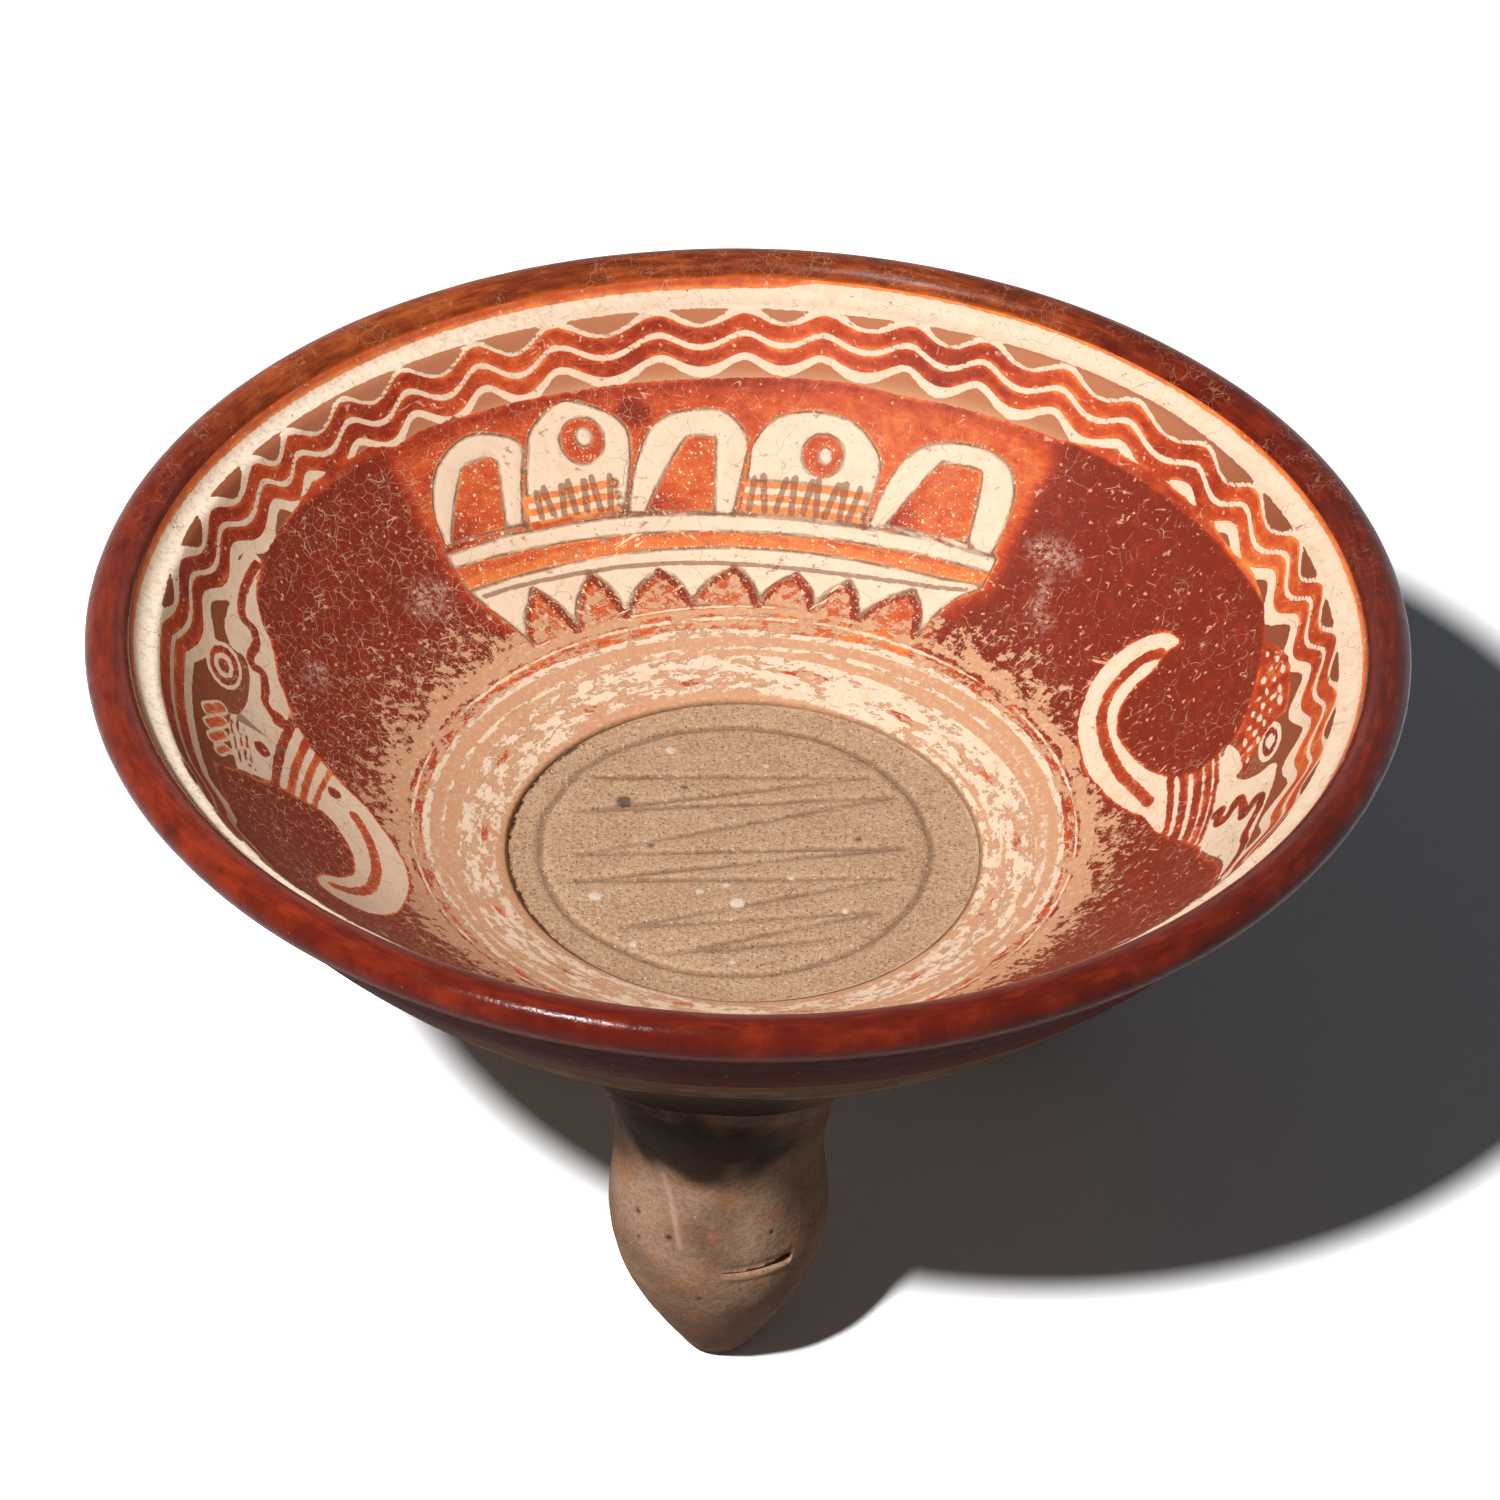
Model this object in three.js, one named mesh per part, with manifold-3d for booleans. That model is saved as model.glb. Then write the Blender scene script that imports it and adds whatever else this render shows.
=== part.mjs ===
// Painted clay tripod bowl: a wide bowl with a round rolled lip, a bare grating floor scored
// in zigzags, and three hollow pointed legs that rattle, each with a slit and loose pellets.
// Millimetres, +Z up. The origin is on the ground, below the middle of the bowl.

import * as THREE from 'three';
import { mergeVertices } from 'three/addons/utils/BufferGeometryUtils.js';
import { ParametricGeometry } from 'three/addons/geometries/ParametricGeometry.js';
import Module from 'manifold-3d';

// Bowl sizes
const rimDiameter = 240;
const lipHeight = 120;
const lipCoilDiameter = 8.3;
const flangeWidth = 4.7;
const throatDepth = 3.2;
const wallThickness = 9;

// Grating floor sizes
const floorDiameter = 88.8;
const floorDepth = 55;
const floorThickness = 7;
const floorStep = 0.5;
const floorDish = 0.9;
const flatDiameter = 76;
const ringDiameter = 73.6;
const furrowWidth = 1.6;
const furrowDepth = 0.55;

// Leg sizes
const legInset = 44.5;
const bulbDiameter = 40.2;
const neckDiameter = 38.2;
const headDiameter = 49;
const tipDiameter = 5;
const legWall = 5;
const tipSolid = 10;
const slitLength = 13.5;
const slitWidth = 2.2;

// Luting coil and pellet sizes
const luteWidth = 4.5;
const luteDrop = 5;
const pelletDiameter = 6;
const pelletRing = 7.8;

// Joint clearance between fired pieces, and how far a cut runs past what it cuts
const clearance = 0.3;
const overrun = 4;

// Turns round the bowl or the leg, in degrees from +X towards +Y
const frontLegTurn = 267;
const slitTurn = 26;
const legNames = ['front', 'right', 'left'];
const pelletsPerLeg = 3;

// Smoothness, in sides round each form
const bowlSides = 64;
const legSides = 28;
const luteSides = 28;
const coilSides = 12;
const wallSteps = 10;
const legSteps = 15;

// Inner wall outline, shares of the way out and up from the floor edge to the throat
const wallShares = [[0, 0], [0.281, 0.141], [0.569, 0.389], [0.867, 0.754], [1, 1]];
// Wall thickness at those outline points, shares of wallThickness
const thicknessShares = [0.8, 0.86, 1, 0.81, 0.5];
// How far up the wall the outer edge of the bevelled floor joint lies
const bevelShare = 0.12;
// Underside of the floor: the share of the floor radius that is level
const levelShare = 0.6;
// Leg outline, heights of bulb and neck as shares of the leg's length under the bowl
const bulbShare = 0.527;
const neckShare = 0.763;
// Leg outline from the blunt tip to the bulb, shares of the bulb's radius and height
const tipShares = [
  [0.229, 0.0145], [0.318, 0.046], [0.403, 0.116], [0.53, 0.232], [0.669, 0.377], [0.813, 0.551], [0.94, 0.754],
];
// Leg outline from neck to head, shares of what the radius and the height gain there
const headShares = [[0.06, 0.17], [0.33, 0.39], [0.75, 0.64]];
// Scored zigzag, shares of the ring's radius, right and away from the ring's middle
const zigzagShares = [
  [-0.74, 0.56], [0.68, 0.6], [-0.81, 0.27], [0.81, 0.44], [-0.79, -0.08], [0.86, 0.03],
  [-0.8, -0.29], [0.8, -0.22], [-0.55, -0.65], [0.74, -0.49], [-0.33, -0.85], [0.56, -0.7],
];
// The ring was scored by hand a little off the floor's middle, shares of its radius
const ringOffsetShares = [-0.046, 0.04];
// The lip coil's seat on the flange, an arc in degrees round the middle of the coil
const seatFromTurn = 203;
const seatToTurn = 258;
const seatSteps = 5;

const clay = {
  lip: { color: 0x7a2413, roughness: 0.28, metalness: 0 },
  painted: { color: 0xb0603c, roughness: 0.5, metalness: 0 },
  floor: { color: 0xb9906c, roughness: 0.95, metalness: 0 },
  leg: { color: 0x84654c, roughness: 0.85, metalness: 0 },
  lute: { color: 0x705440, roughness: 0.9, metalness: 0 },
  pellet: { color: 0x9a7355, roughness: 0.9, metalness: 0 },
};

const wasm = await Module();
wasm.setup();

const radians = THREE.MathUtils.degToRad;
const point = (r, z) => new THREE.Vector2(r, z);

// A geometry with its shared corners merged and its empty faces dropped
function closed(geometry) {
  geometry.deleteAttribute('normal');
  geometry.deleteAttribute('uv');
  const merged = mergeVertices(geometry);
  const faces = [];
  const index = merged.index.array;
  for (let i = 0; i < index.length; i += 3) {
    const [a, b, c] = [index[i], index[i + 1], index[i + 2]];
    if (a !== b && b !== c && c !== a) faces.push(a, b, c);
  }
  merged.setIndex(faces);
  return merged;
}

function toSolid(geometry) {
  const merged = closed(geometry);
  return new wasm.Manifold(new wasm.Mesh({
    numProp: 3,
    vertProperties: new Float32Array(merged.attributes.position.array),
    triVerts: new Uint32Array(merged.index.array),
  }));
}

function toGeometry(solid) {
  const mesh = solid.getMesh();
  const geometry = new THREE.BufferGeometry();
  geometry.setAttribute('position', new THREE.BufferAttribute(mesh.vertProperties, 3));
  geometry.setIndex(new THREE.BufferAttribute(mesh.triVerts, 1));
  return geometry;
}

// A profile of radius and height, turned round the Z axis like work on a wheel
function turned(profile, sides) {
  return new THREE.LatheGeometry(profile, sides).rotateX(Math.PI / 2);
}

// Straight-line value of a polyline's second coordinate at a first coordinate
function along(points, at, first, second) {
  let i = 1;
  while (i < points.length - 1 && points[i][first] < at) i += 1;
  const [a, b] = [points[i - 1], points[i]];
  return a[second] + (b[second] - a[second]) * (at - a[first]) / (b[first] - a[first]);
}

// A curve's points moved sideways by a distance that may change along it
function moved(curve, steps, distanceAt, from = 0) {
  return Array.from({ length: steps + 1 }, (_, i) => {
    const t = from + (1 - from) * i / steps;
    const tangent = curve.getTangent(t);
    const place = curve.getPoint(t);
    const distance = distanceAt(t);
    return point(place.x + tangent.y * distance, place.y - tangent.x * distance);
  });
}

// Bowl levels and outlines
const rimRadius = rimDiameter / 2;
const lipCoilRadius = lipCoilDiameter / 2;
const lipRingRadius = rimRadius - lipCoilRadius;
const floorRadius = floorDiameter / 2;
const floorLevel = lipHeight - floorDepth;
const underLevel = floorLevel - floorThickness;
const wallFoot = floorLevel + floorDish + floorStep;
const throatRadius = rimRadius - lipCoilDiameter - flangeWidth;
const throatLevel = lipHeight - throatDepth;

const innerWall = new THREE.SplineCurve(wallShares.map(([out, up]) => point(
  floorRadius + out * (throatRadius - floorRadius),
  wallFoot + up * (throatLevel - wallFoot),
)));

function wallThicknessAt(t) {
  const place = t * (thicknessShares.length - 1);
  const i = Math.min(Math.floor(place), thicknessShares.length - 2);
  return wallThickness * THREE.MathUtils.lerp(thicknessShares[i], thicknessShares[i + 1], place - i);
}

const outerOutline = moved(innerWall, wallSteps, wallThicknessAt, bevelShare);
const innerOutline = innerWall.getPoints(wallSteps);
const bevelFoot = outerOutline[0];
const [floorHeel] = moved(innerWall, wallSteps, wallThicknessAt);
const levelEdge = point(floorRadius * levelShare, underLevel);
// The whole underside from the axis outwards, floor and wall together
const underside = [point(0, underLevel), levelEdge, floorHeel, ...outerOutline];
const bevelTop = point(floorRadius, wallFoot - floorStep);
const bevelNormal = point(bevelTop.y - bevelFoot.y, bevelFoot.x - bevelTop.x).normalize();

function seatPoints() {
  const points = [];
  for (let i = 0; i <= seatSteps; i += 1) {
    const angle = radians(seatFromTurn + (seatToTurn - seatFromTurn) * i / seatSteps);
    const reach = lipCoilRadius + clearance;
    points.push(point(lipRingRadius + reach * Math.cos(angle), lipHeight + reach * Math.sin(angle)));
  }
  return points;
}

// The wall: outside up to the lip seat, then down the inside to the bevelled foot
function wallGeometry() {
  const outside = outerOutline.map((p, i) => (
    i === 0 ? p.clone().addScaledVector(bevelNormal, clearance) : p.clone()));
  const inside = innerOutline.map((p, i) => (
    i === 0 ? p.clone().addScaledVector(bevelNormal, clearance) : p.clone()));
  const profile = [...outside, ...seatPoints().reverse(), ...inside.reverse()];
  profile.push(profile[0].clone());
  return closed(turned(profile, bowlSides));
}

function lipGeometry() {
  return closed(new THREE.TorusGeometry(lipRingRadius, lipCoilRadius, coilSides, bowlSides));
}

// The floor pat: level below, bevelled edge, and a faintly dished bare top
function floorBlank() {
  const profile = [
    ...underside.slice(0, underside.indexOf(bevelFoot) + 1),
    bevelTop.clone(),
    point(flatDiameter / 2, floorLevel),
    point(0, floorLevel),
  ];
  return turned(profile, bowlSides);
}

// A round-nosed tool leaves furrows of this radius at the stated width and depth
const furrowRadius = (furrowWidth ** 2 / 4 + furrowDepth ** 2) / (2 * furrowDepth);
const furrowSides = 6;

function furrow(from, to) {
  const run = to.clone().sub(from);
  const tool = new THREE.CylinderGeometry(furrowRadius, furrowRadius, run.length(), furrowSides);
  tool.rotateZ(Math.atan2(run.y, run.x) - Math.PI / 2);
  const middle = from.clone().lerp(to, 0.5);
  tool.translate(middle.x, middle.y, floorLevel + furrowRadius - furrowDepth);
  return toSolid(tool);
}

function floorGeometry() {
  const ringRadius = ringDiameter / 2;
  const place = ([right, away]) => new THREE.Vector2(
    (right + ringOffsetShares[0]) * ringRadius, (away + ringOffsetShares[1]) * ringRadius);
  const ring = new THREE.TorusGeometry(ringRadius, furrowRadius, furrowSides, bowlSides);
  const middle = place([0, 0]);
  ring.translate(middle.x, middle.y, floorLevel + furrowRadius - furrowDepth);
  let floor = toSolid(floorBlank()).subtract(toSolid(ring));
  const corners = zigzagShares.map(place);
  for (let i = 1; i < corners.length; i += 1) floor = floor.subtract(furrow(corners[i - 1], corners[i]));
  return toGeometry(floor);
}

// Leg outline in radius and height, from the worn tip to a head that the bowl's underside trims
const undersideAt = (r) => along(underside, r, 'x', 'y');
const legSpread = throatRadius - legInset;
const legLength = undersideAt(legSpread);
const bulbRadius = bulbDiameter / 2;
const neckRadius = neckDiameter / 2;
const bulbHeight = bulbShare * legLength;
const neckHeight = neckShare * legLength;
const headHeight = undersideAt(legSpread + headDiameter / 2) + overrun;
const legCurve = new THREE.SplineCurve([
  point(tipDiameter / 2, 0),
  ...tipShares.map(([out, up]) => point(out * bulbRadius, up * bulbHeight)),
  point(bulbRadius, bulbHeight),
  point(neckRadius, neckHeight),
  ...headShares.map(([out, up]) => point(
    neckRadius + out * (headDiameter / 2 - neckRadius), neckHeight + up * (headHeight - neckHeight))),
  point(headDiameter / 2, headHeight),
]);
const legOutline = legCurve.getPoints(legSteps);
const hollowOutline = moved(legCurve, legSteps, () => -legWall)
  .filter((p) => p.x > tipDiameter / 2 && p.y > tipSolid);

// Everything above the bowl's underside, kept off it by the clearance: it trims the leg heads
function bowlClearance() {
  const skin = underside.map((p, i) => {
    const near = underside[Math.min(i + 1, underside.length - 1)];
    const past = underside[Math.max(i - 1, 0)];
    const run = near.clone().sub(past).normalize();
    return point(i === 0 ? 0 : p.x + run.y * clearance, p.y - run.x * clearance);
  });
  const lid = lipHeight + overrun;
  const edge = skin[skin.length - 1];
  return toSolid(turned([...skin, point(edge.x, lid), point(0, lid)], bowlSides));
}

// A lens-shaped cut through the leg's wall, made level while the clay was soft
function slitCutter() {
  const half = slitLength / 2;
  const lens = new THREE.Shape();
  lens.moveTo(-half, 0);
  lens.quadraticCurveTo(0, -slitWidth, half, 0);
  lens.quadraticCurveTo(0, slitWidth, -half, 0);
  const depth = legWall + 2 * overrun;
  const cutter = new THREE.ExtrudeGeometry(lens, { depth, bevelEnabled: false, curveSegments: 8 });
  cutter.rotateX(Math.PI / 2).rotateZ(Math.PI / 2);
  cutter.translate(bulbRadius - legWall - overrun, 0, bulbHeight);
  return toSolid(cutter.rotateZ(radians(slitTurn)));
}

// One leg about its own axis, with its outward side along +X
function legBlank() {
  const outer = turned([point(0, 0), ...legOutline, point(0, headHeight)], legSides);
  const top = hollowOutline[hollowOutline.length - 1];
  const past = headHeight + overrun;
  const hollow = turned([point(0, tipSolid), ...hollowOutline, point(top.x, past), point(0, past)], legSides);
  return toSolid(outer).subtract(toSolid(hollow)).subtract(slitCutter());
}

// The leg's head trimmed to the bowl's underside, still about the leg's own axis
function legGeometry(blank, trim, direction) {
  const trimHere = trim.rotate([0, 0, -direction]).translate([-legSpread, 0, 0]);
  return toGeometry(blank.subtract(trimHere));
}

const legRadiusAt = (z) => along(legOutline, z, 'y', 'x');

// A point beside the leg: its turn about the leg, its reach from the leg's axis, on the underside
function underBowl(turn, reach) {
  const x = legSpread + reach * Math.cos(turn);
  const y = reach * Math.sin(turn);
  const r = Math.hypot(x, y);
  const rise = undersideAt(r + clearance) - undersideAt(r);
  const drop = Math.hypot(clearance, rise);
  return new THREE.Vector3(x - legSpread, y, undersideAt(r) - drop);
}

// The corner between leg and bowl, found by closing in on the leg's radius at that height
function corner(turn) {
  let place = underBowl(turn, neckRadius + clearance);
  for (let i = 0; i < 6; i += 1) place = underBowl(turn, legRadiusAt(place.z) + clearance);
  return place;
}

// Luting coil smeared into the corner round the leg's head, hollow-faced towards the open
function luteGeometry() {
  const faceSteps = 4;
  const section = [[0, 0]];
  for (let i = 0; i <= faceSteps; i += 1) {
    const turn = (Math.PI / 2) * i / faceSteps;
    section.push([1 - Math.sin(turn), 1 - Math.cos(turn)]);
  }
  section.push([0, 0]);
  const place = (u, v, target) => {
    const turn = 2 * Math.PI * (u % 1);
    const heel = corner(turn);
    const low = heel.z - luteDrop;
    const reach = legRadiusAt(low) + clearance;
    const onLeg = new THREE.Vector3(reach * Math.cos(turn), reach * Math.sin(turn), low);
    const onBowl = underBowl(turn, Math.hypot(heel.x, heel.y) + luteWidth);
    const [down, out] = section[Math.round(v * (section.length - 1))];
    target.copy(heel)
      .addScaledVector(onLeg.sub(heel), down)
      .addScaledVector(onBowl.sub(heel), out);
  };
  return closed(new ParametricGeometry(place, luteSides, section.length - 1));
}

// Height at which a pellet lies on the hollow's sloping floor, the clearance above it
function pelletRest(reach) {
  const radius = pelletDiameter / 2 + clearance;
  const hollowFloor = [point(0, tipSolid), ...hollowOutline];
  const heights = Array.from({ length: 2 * legSides + 1 }, (_, i) => {
    const aside = radius * (i / legSides - 1);
    return along(hollowFloor, reach + aside, 'x', 'y') + Math.sqrt(Math.max(radius ** 2 - aside ** 2, 0));
  });
  return Math.max(...heights);
}

function meshOf(name, geometry, finish) {
  const mesh = new THREE.Mesh(geometry, new THREE.MeshStandardMaterial(finish));
  mesh.name = name;
  return mesh;
}

const vessel = new THREE.Group();
vessel.add(meshOf('grater_floor', floorGeometry(), clay.floor));
vessel.add(meshOf('bowl_wall', wallGeometry(), clay.painted));
const lip = meshOf('rim_coil', lipGeometry(), clay.lip);
lip.position.z = lipHeight;
vessel.add(lip);

const blank = legBlank();
const trim = bowlClearance();
const pelletReach = pelletRing / 2;
const pelletHeight = pelletRest(pelletReach);

legNames.forEach((side, order) => {
  const direction = frontLegTurn + 360 * order / legNames.length;
  const place = new THREE.Group();
  place.rotation.z = radians(direction);
  place.translateX(legSpread);
  place.add(meshOf(`leg_${side}`, legGeometry(blank, trim, direction), clay.leg));
  place.add(meshOf(`lute_${side}`, luteGeometry(), clay.lute));
  for (let i = 0; i < pelletsPerLeg; i += 1) {
    const turn = Math.PI / pelletsPerLeg * (2 * i + 1);
    const pellet = meshOf(`pellet_${side}_${i + 1}`, closed(new THREE.IcosahedronGeometry(pelletDiameter / 2, 1)),
      clay.pellet);
    pellet.position.set(pelletReach * Math.cos(turn), pelletReach * Math.sin(turn), pelletHeight);
    place.add(pellet);
  }
  vessel.add(place);
});

export default vessel;
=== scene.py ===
"""Painted clay tripod bowl: a wide bowl with a glossy rolled lip, slip-painted inside round a bare
scored floor, on three hollow rattle legs. Lengths in outlines and patterns are millimetres, turns
are degrees from +X towards +Y, and finished meshes are metres."""

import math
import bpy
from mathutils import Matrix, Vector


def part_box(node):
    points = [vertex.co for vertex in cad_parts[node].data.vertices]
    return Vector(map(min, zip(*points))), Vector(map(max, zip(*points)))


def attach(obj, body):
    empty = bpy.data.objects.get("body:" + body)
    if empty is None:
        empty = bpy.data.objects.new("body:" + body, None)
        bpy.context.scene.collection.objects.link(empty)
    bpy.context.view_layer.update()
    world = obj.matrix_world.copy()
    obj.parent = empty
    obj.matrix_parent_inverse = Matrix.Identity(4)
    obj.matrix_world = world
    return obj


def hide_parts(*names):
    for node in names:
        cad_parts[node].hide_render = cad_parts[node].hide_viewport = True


bl_info = {
    "name": "Clay Tripod Bowl",
    "version": (1, 0, 0),
    "blender": (4, 5, 0),
    "location": "3D View > Sidebar > Tripod Bowl",
    "description": "Builds a painted clay bowl with a scored floor on three hollow legs",
    "category": "Add Mesh",
}

import bmesh
import bpy
import numpy as np
from bpy.props import FloatProperty, FloatVectorProperty, IntProperty, PointerProperty
from mathutils import Matrix, Vector, noise

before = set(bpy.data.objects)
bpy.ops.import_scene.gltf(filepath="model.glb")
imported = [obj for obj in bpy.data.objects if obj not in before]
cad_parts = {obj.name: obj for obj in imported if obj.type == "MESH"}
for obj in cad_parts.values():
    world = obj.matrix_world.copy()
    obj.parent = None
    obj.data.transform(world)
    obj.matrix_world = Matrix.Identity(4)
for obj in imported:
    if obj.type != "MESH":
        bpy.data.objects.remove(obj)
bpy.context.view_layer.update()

MM = 0.001
SIDES = ("front", "right", "left")
LEG_TURNS = dict(zip(SIDES, (267, 27, 147)))
BODY = "vessel"

# Sizes that the frame gives
rim_low, rim_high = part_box("rim_coil")
floor_low, floor_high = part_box("grater_floor")


def length(name, description, default):
    return FloatProperty(name=name, description=description, default=default, unit="LENGTH", precision=4)


def display(red, green, blue):
    """A colour as it shows on a screen, 0 to 255, turned into the linear values that shaders take"""
    return tuple(((c / 255 + 0.055) / 1.055) ** 2.4 if c > 10 else c / 3294.6 for c in (red, green, blue))


def pigment(name, description, *shown):
    return FloatVectorProperty(
        name=name, description=description, subtype="COLOR", min=0, max=1, default=display(*shown))


class VesselSizes(bpy.types.PropertyGroup):
    """Sizes of the bowl and its legs"""

    rim_diameter: length("Rim", "Across the outside of the lip", rim_high.x - rim_low.x)
    lip_height: length("Lip height", "Middle of the lip coil above the ground", (rim_low.z + rim_high.z) / 2)
    lip_coil_diameter: length("Lip coil", "Thickness of the lip coil", rim_high.z - rim_low.z)
    flange_width: length("Flange", "From the throat to the lip coil", 0.0047)
    throat_depth: length("Throat depth", "Throat below the middle of the lip coil", 0.0032)
    wall_thickness: length("Wall", "Thickest part of the wall", 0.009)
    floor_diameter: length("Floor", "Across the bare floor", 0.0888)
    floor_depth: length("Floor depth", "Floor below the middle of the lip coil", 0.055)
    floor_thickness: length("Floor thickness", "Thickness of the floor", 0.007)
    floor_step: length("Floor step", "Step between floor and painted wall", 0.0005)
    floor_dish: length("Floor dish", "Rise of the floor at its edge", 0.0009)
    flat_diameter: length("Flat floor", "Across the level part of the floor", 0.076)
    ring_diameter: length("Scored ring", "Across the ring scored in the floor", 0.0736)
    furrow_width: length("Furrow width", "Width of a scored line", 0.0017)
    furrow_depth: length("Furrow depth", "Depth of a scored line", 0.0006)
    leg_inset: length("Leg inset", "From the throat in to the axis of a leg", 0.0445)
    bulb_diameter: length("Leg bulb", "Widest part of a leg", 0.0402)
    neck_diameter: length("Leg neck", "Narrow part of a leg", 0.0382)
    head_diameter: length("Leg head", "Top of a leg, at the bowl", 0.049)
    tip_diameter: length("Leg tip", "Worn tip of a leg", 0.005)
    leg_wall: length("Leg wall", "Thickness of a leg's wall", 0.005)
    tip_solid: length("Solid tip", "Solid clay at a leg's tip", 0.010)
    slit_length: length("Slit length", "Length of the slit in a leg", 0.0135)
    slit_width: length("Slit width", "Widest part of the slit", 0.0020)
    lute_width: length("Lute width", "Reach of the luting clay along the bowl", 0.0045)
    lute_drop: length("Lute drop", "Reach of the luting clay down the leg", 0.005)
    pellet_diameter: length("Pellet", "Size of a rattle pellet", 0.006)
    wall_columns: IntProperty(
        name="Wall columns", description="Mesh columns round the painted wall", default=848, min=64)


class VesselColours(bpy.types.PropertyGroup):
    """Colours of the clay and the slips, as they show in plain light"""

    buff: pigment("Buff clay", "Body clay where the slip has worn away", 206, 146, 108)
    buff_sand: pigment("Sandy buff", "Sandier patches of the worn clay", 206, 164, 128)
    buff_deep: pigment("Deep buff", "Body clay in the painted band, far side", 182, 118, 84)
    buff_shade: pigment("Shaded buff", "Body clay in the painted band, at the sides", 132, 68, 42)
    cream: pigment("Cream slip", "Light slip of the bands and figures", 228, 201, 174)
    cream_dull: pigment("Dull cream", "Cream slip where it is rubbed", 220, 190, 158)
    # Paler cream for the band's left side, where it is painted light
    painted_light_cream: pigment("Band cream", "Cream slip of the band under the lip", 243, 224, 200)
    orange: pigment("Orange slip", "Red slip where it lies thin", 226, 130, 66)
    red_orange: pigment("Red-orange slip", "Red slip of ordinary thickness", 190, 76, 38)
    brick: pigment("Brick slip", "Red slip where strokes overlap", 146, 48, 26)
    dark_red: pigment("Dark red slip", "Burnished red slip of the fields", 116, 38, 22)
    outline: pigment("Outline", "Grey-brown drawn outline", 156, 124, 98)
    lip: pigment("Lip slip", "Glossy red slip of the lip", 94, 23, 8)
    lip_dark: pigment("Thick lip slip", "Lip slip where it pooled", 66, 10, 5)
    lip_thin: pigment("Thin lip slip", "Lip slip where it lies thinner", 132, 42, 16)
    lip_orange: pigment("Orange lip slip", "Lip slip where the clay shows through", 206, 104, 36)
    floor_clay: pigment("Floor clay", "Bare sandy clay of the floor", 207, 166, 130)
    floor_shade: pigment("Floor shade", "Redder patches of the floor clay", 184, 140, 104)
    leg_clay: pigment("Leg clay", "Unslipped clay of the legs", 173, 138, 112)
    leg_dark: pigment("Smudged clay", "Fire-smudged clay of the legs", 110, 81, 63)
    outer_slip: pigment("Outer slip", "Purple-brown wash below the lip outside", 72, 34, 28)


class StudioSettings(bpy.types.PropertyGroup):
    """Light on the bowl"""

    lamp_power: FloatProperty(
        name="Lamp", description="Power of the main lamp", default=27.5, unit="POWER", min=0)
    lamp_size: length("Lamp size", "Width of the main lamp", 0.118)
    sky: FloatProperty(name="Sky", description="Strength of the light from all round", default=0.036, min=0)
    sky_colour: pigment("Sky colour", "Tint of the light from all round", 232, 242, 255)


# Outline of the bowl's inside, shares of the way out and up from the floor's edge to the throat
WALL_SHARES = ((0, 0), (0.281, 0.141), (0.569, 0.389), (0.867, 0.754), (1, 1))
THICKNESS_SHARES = (0.8, 0.86, 1, 0.81, 0.5)
BEVEL_SHARE = 0.12
LEVEL_SHARE = 0.6
# Outline of a leg: bulb and neck as shares of its length, then shares of their radius and height
BULB_SHARE, NECK_SHARE = 0.527, 0.763
TIP_SHARES = ((0.229, 0.0145), (0.318, 0.046), (0.403, 0.116), (0.53, 0.232), (0.669, 0.377), (0.813, 0.551),
              (0.94, 0.754))
HEAD_SHARES = ((0.06, 0.17), (0.33, 0.39), (0.75, 0.64))
# How far a leg's outline runs on above the bowl's underside before it is trimmed
HEAD_REACH = 4
# The arc height of the painted wall's foot, from the middle of the floor along its surface
WALL_FOOT_UP = 44.8
WORN_ROW, PAINTED_ROW = 1.3, 0.77
WORN_TOP_UP, SMOOTH_UP = 66.0, 127
# The wall's foot laps over the floor's edge by this much in and up, so that no gap shows
FOOT_REACH, FOOT_OVER = -0.25, 0.06
OUTER_COLUMN_SHARE = 4


def flowing(points, steps, closed=False):
    """A smooth curve through given points. A point given twice is a sharp corner."""
    points = np.array(points, float)
    if closed:
        padded = np.vstack([points[-1:], points, points[:2]])
    else:
        padded = np.vstack([points[:1], points, points[-1:]])
    spans = len(padded) - 3
    t = np.linspace(0, spans, spans * steps + 1)
    i = np.minimum(t.astype(int), spans - 1)
    f = (t - i)[:, None]
    a, b, c, d = (padded[i + k] for k in range(4))
    return (2 * b + (c - a) * f + (2 * a - 5 * b + 4 * c - d) * f**2 + (3 * b - 3 * c + d - a) * f**3) / 2


def arc_lengths(points):
    return np.concatenate([[0], np.cumsum(np.hypot(*np.diff(points, axis=0).T))])


def at_arcs(points, arcs):
    """Points at these distances along a curve"""
    along = arc_lengths(points)
    return np.stack([np.interp(arcs, along, column) for column in points.T], axis=1)


def beside(curve, distance):
    """A curve moved to its right by a distance that may change along it"""
    run = np.gradient(curve, axis=0)
    run /= np.hypot(*run.T)[:, None]
    return curve + np.stack([run[:, 1], -run[:, 0]], axis=1) * np.reshape(distance, (-1, 1))


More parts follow.
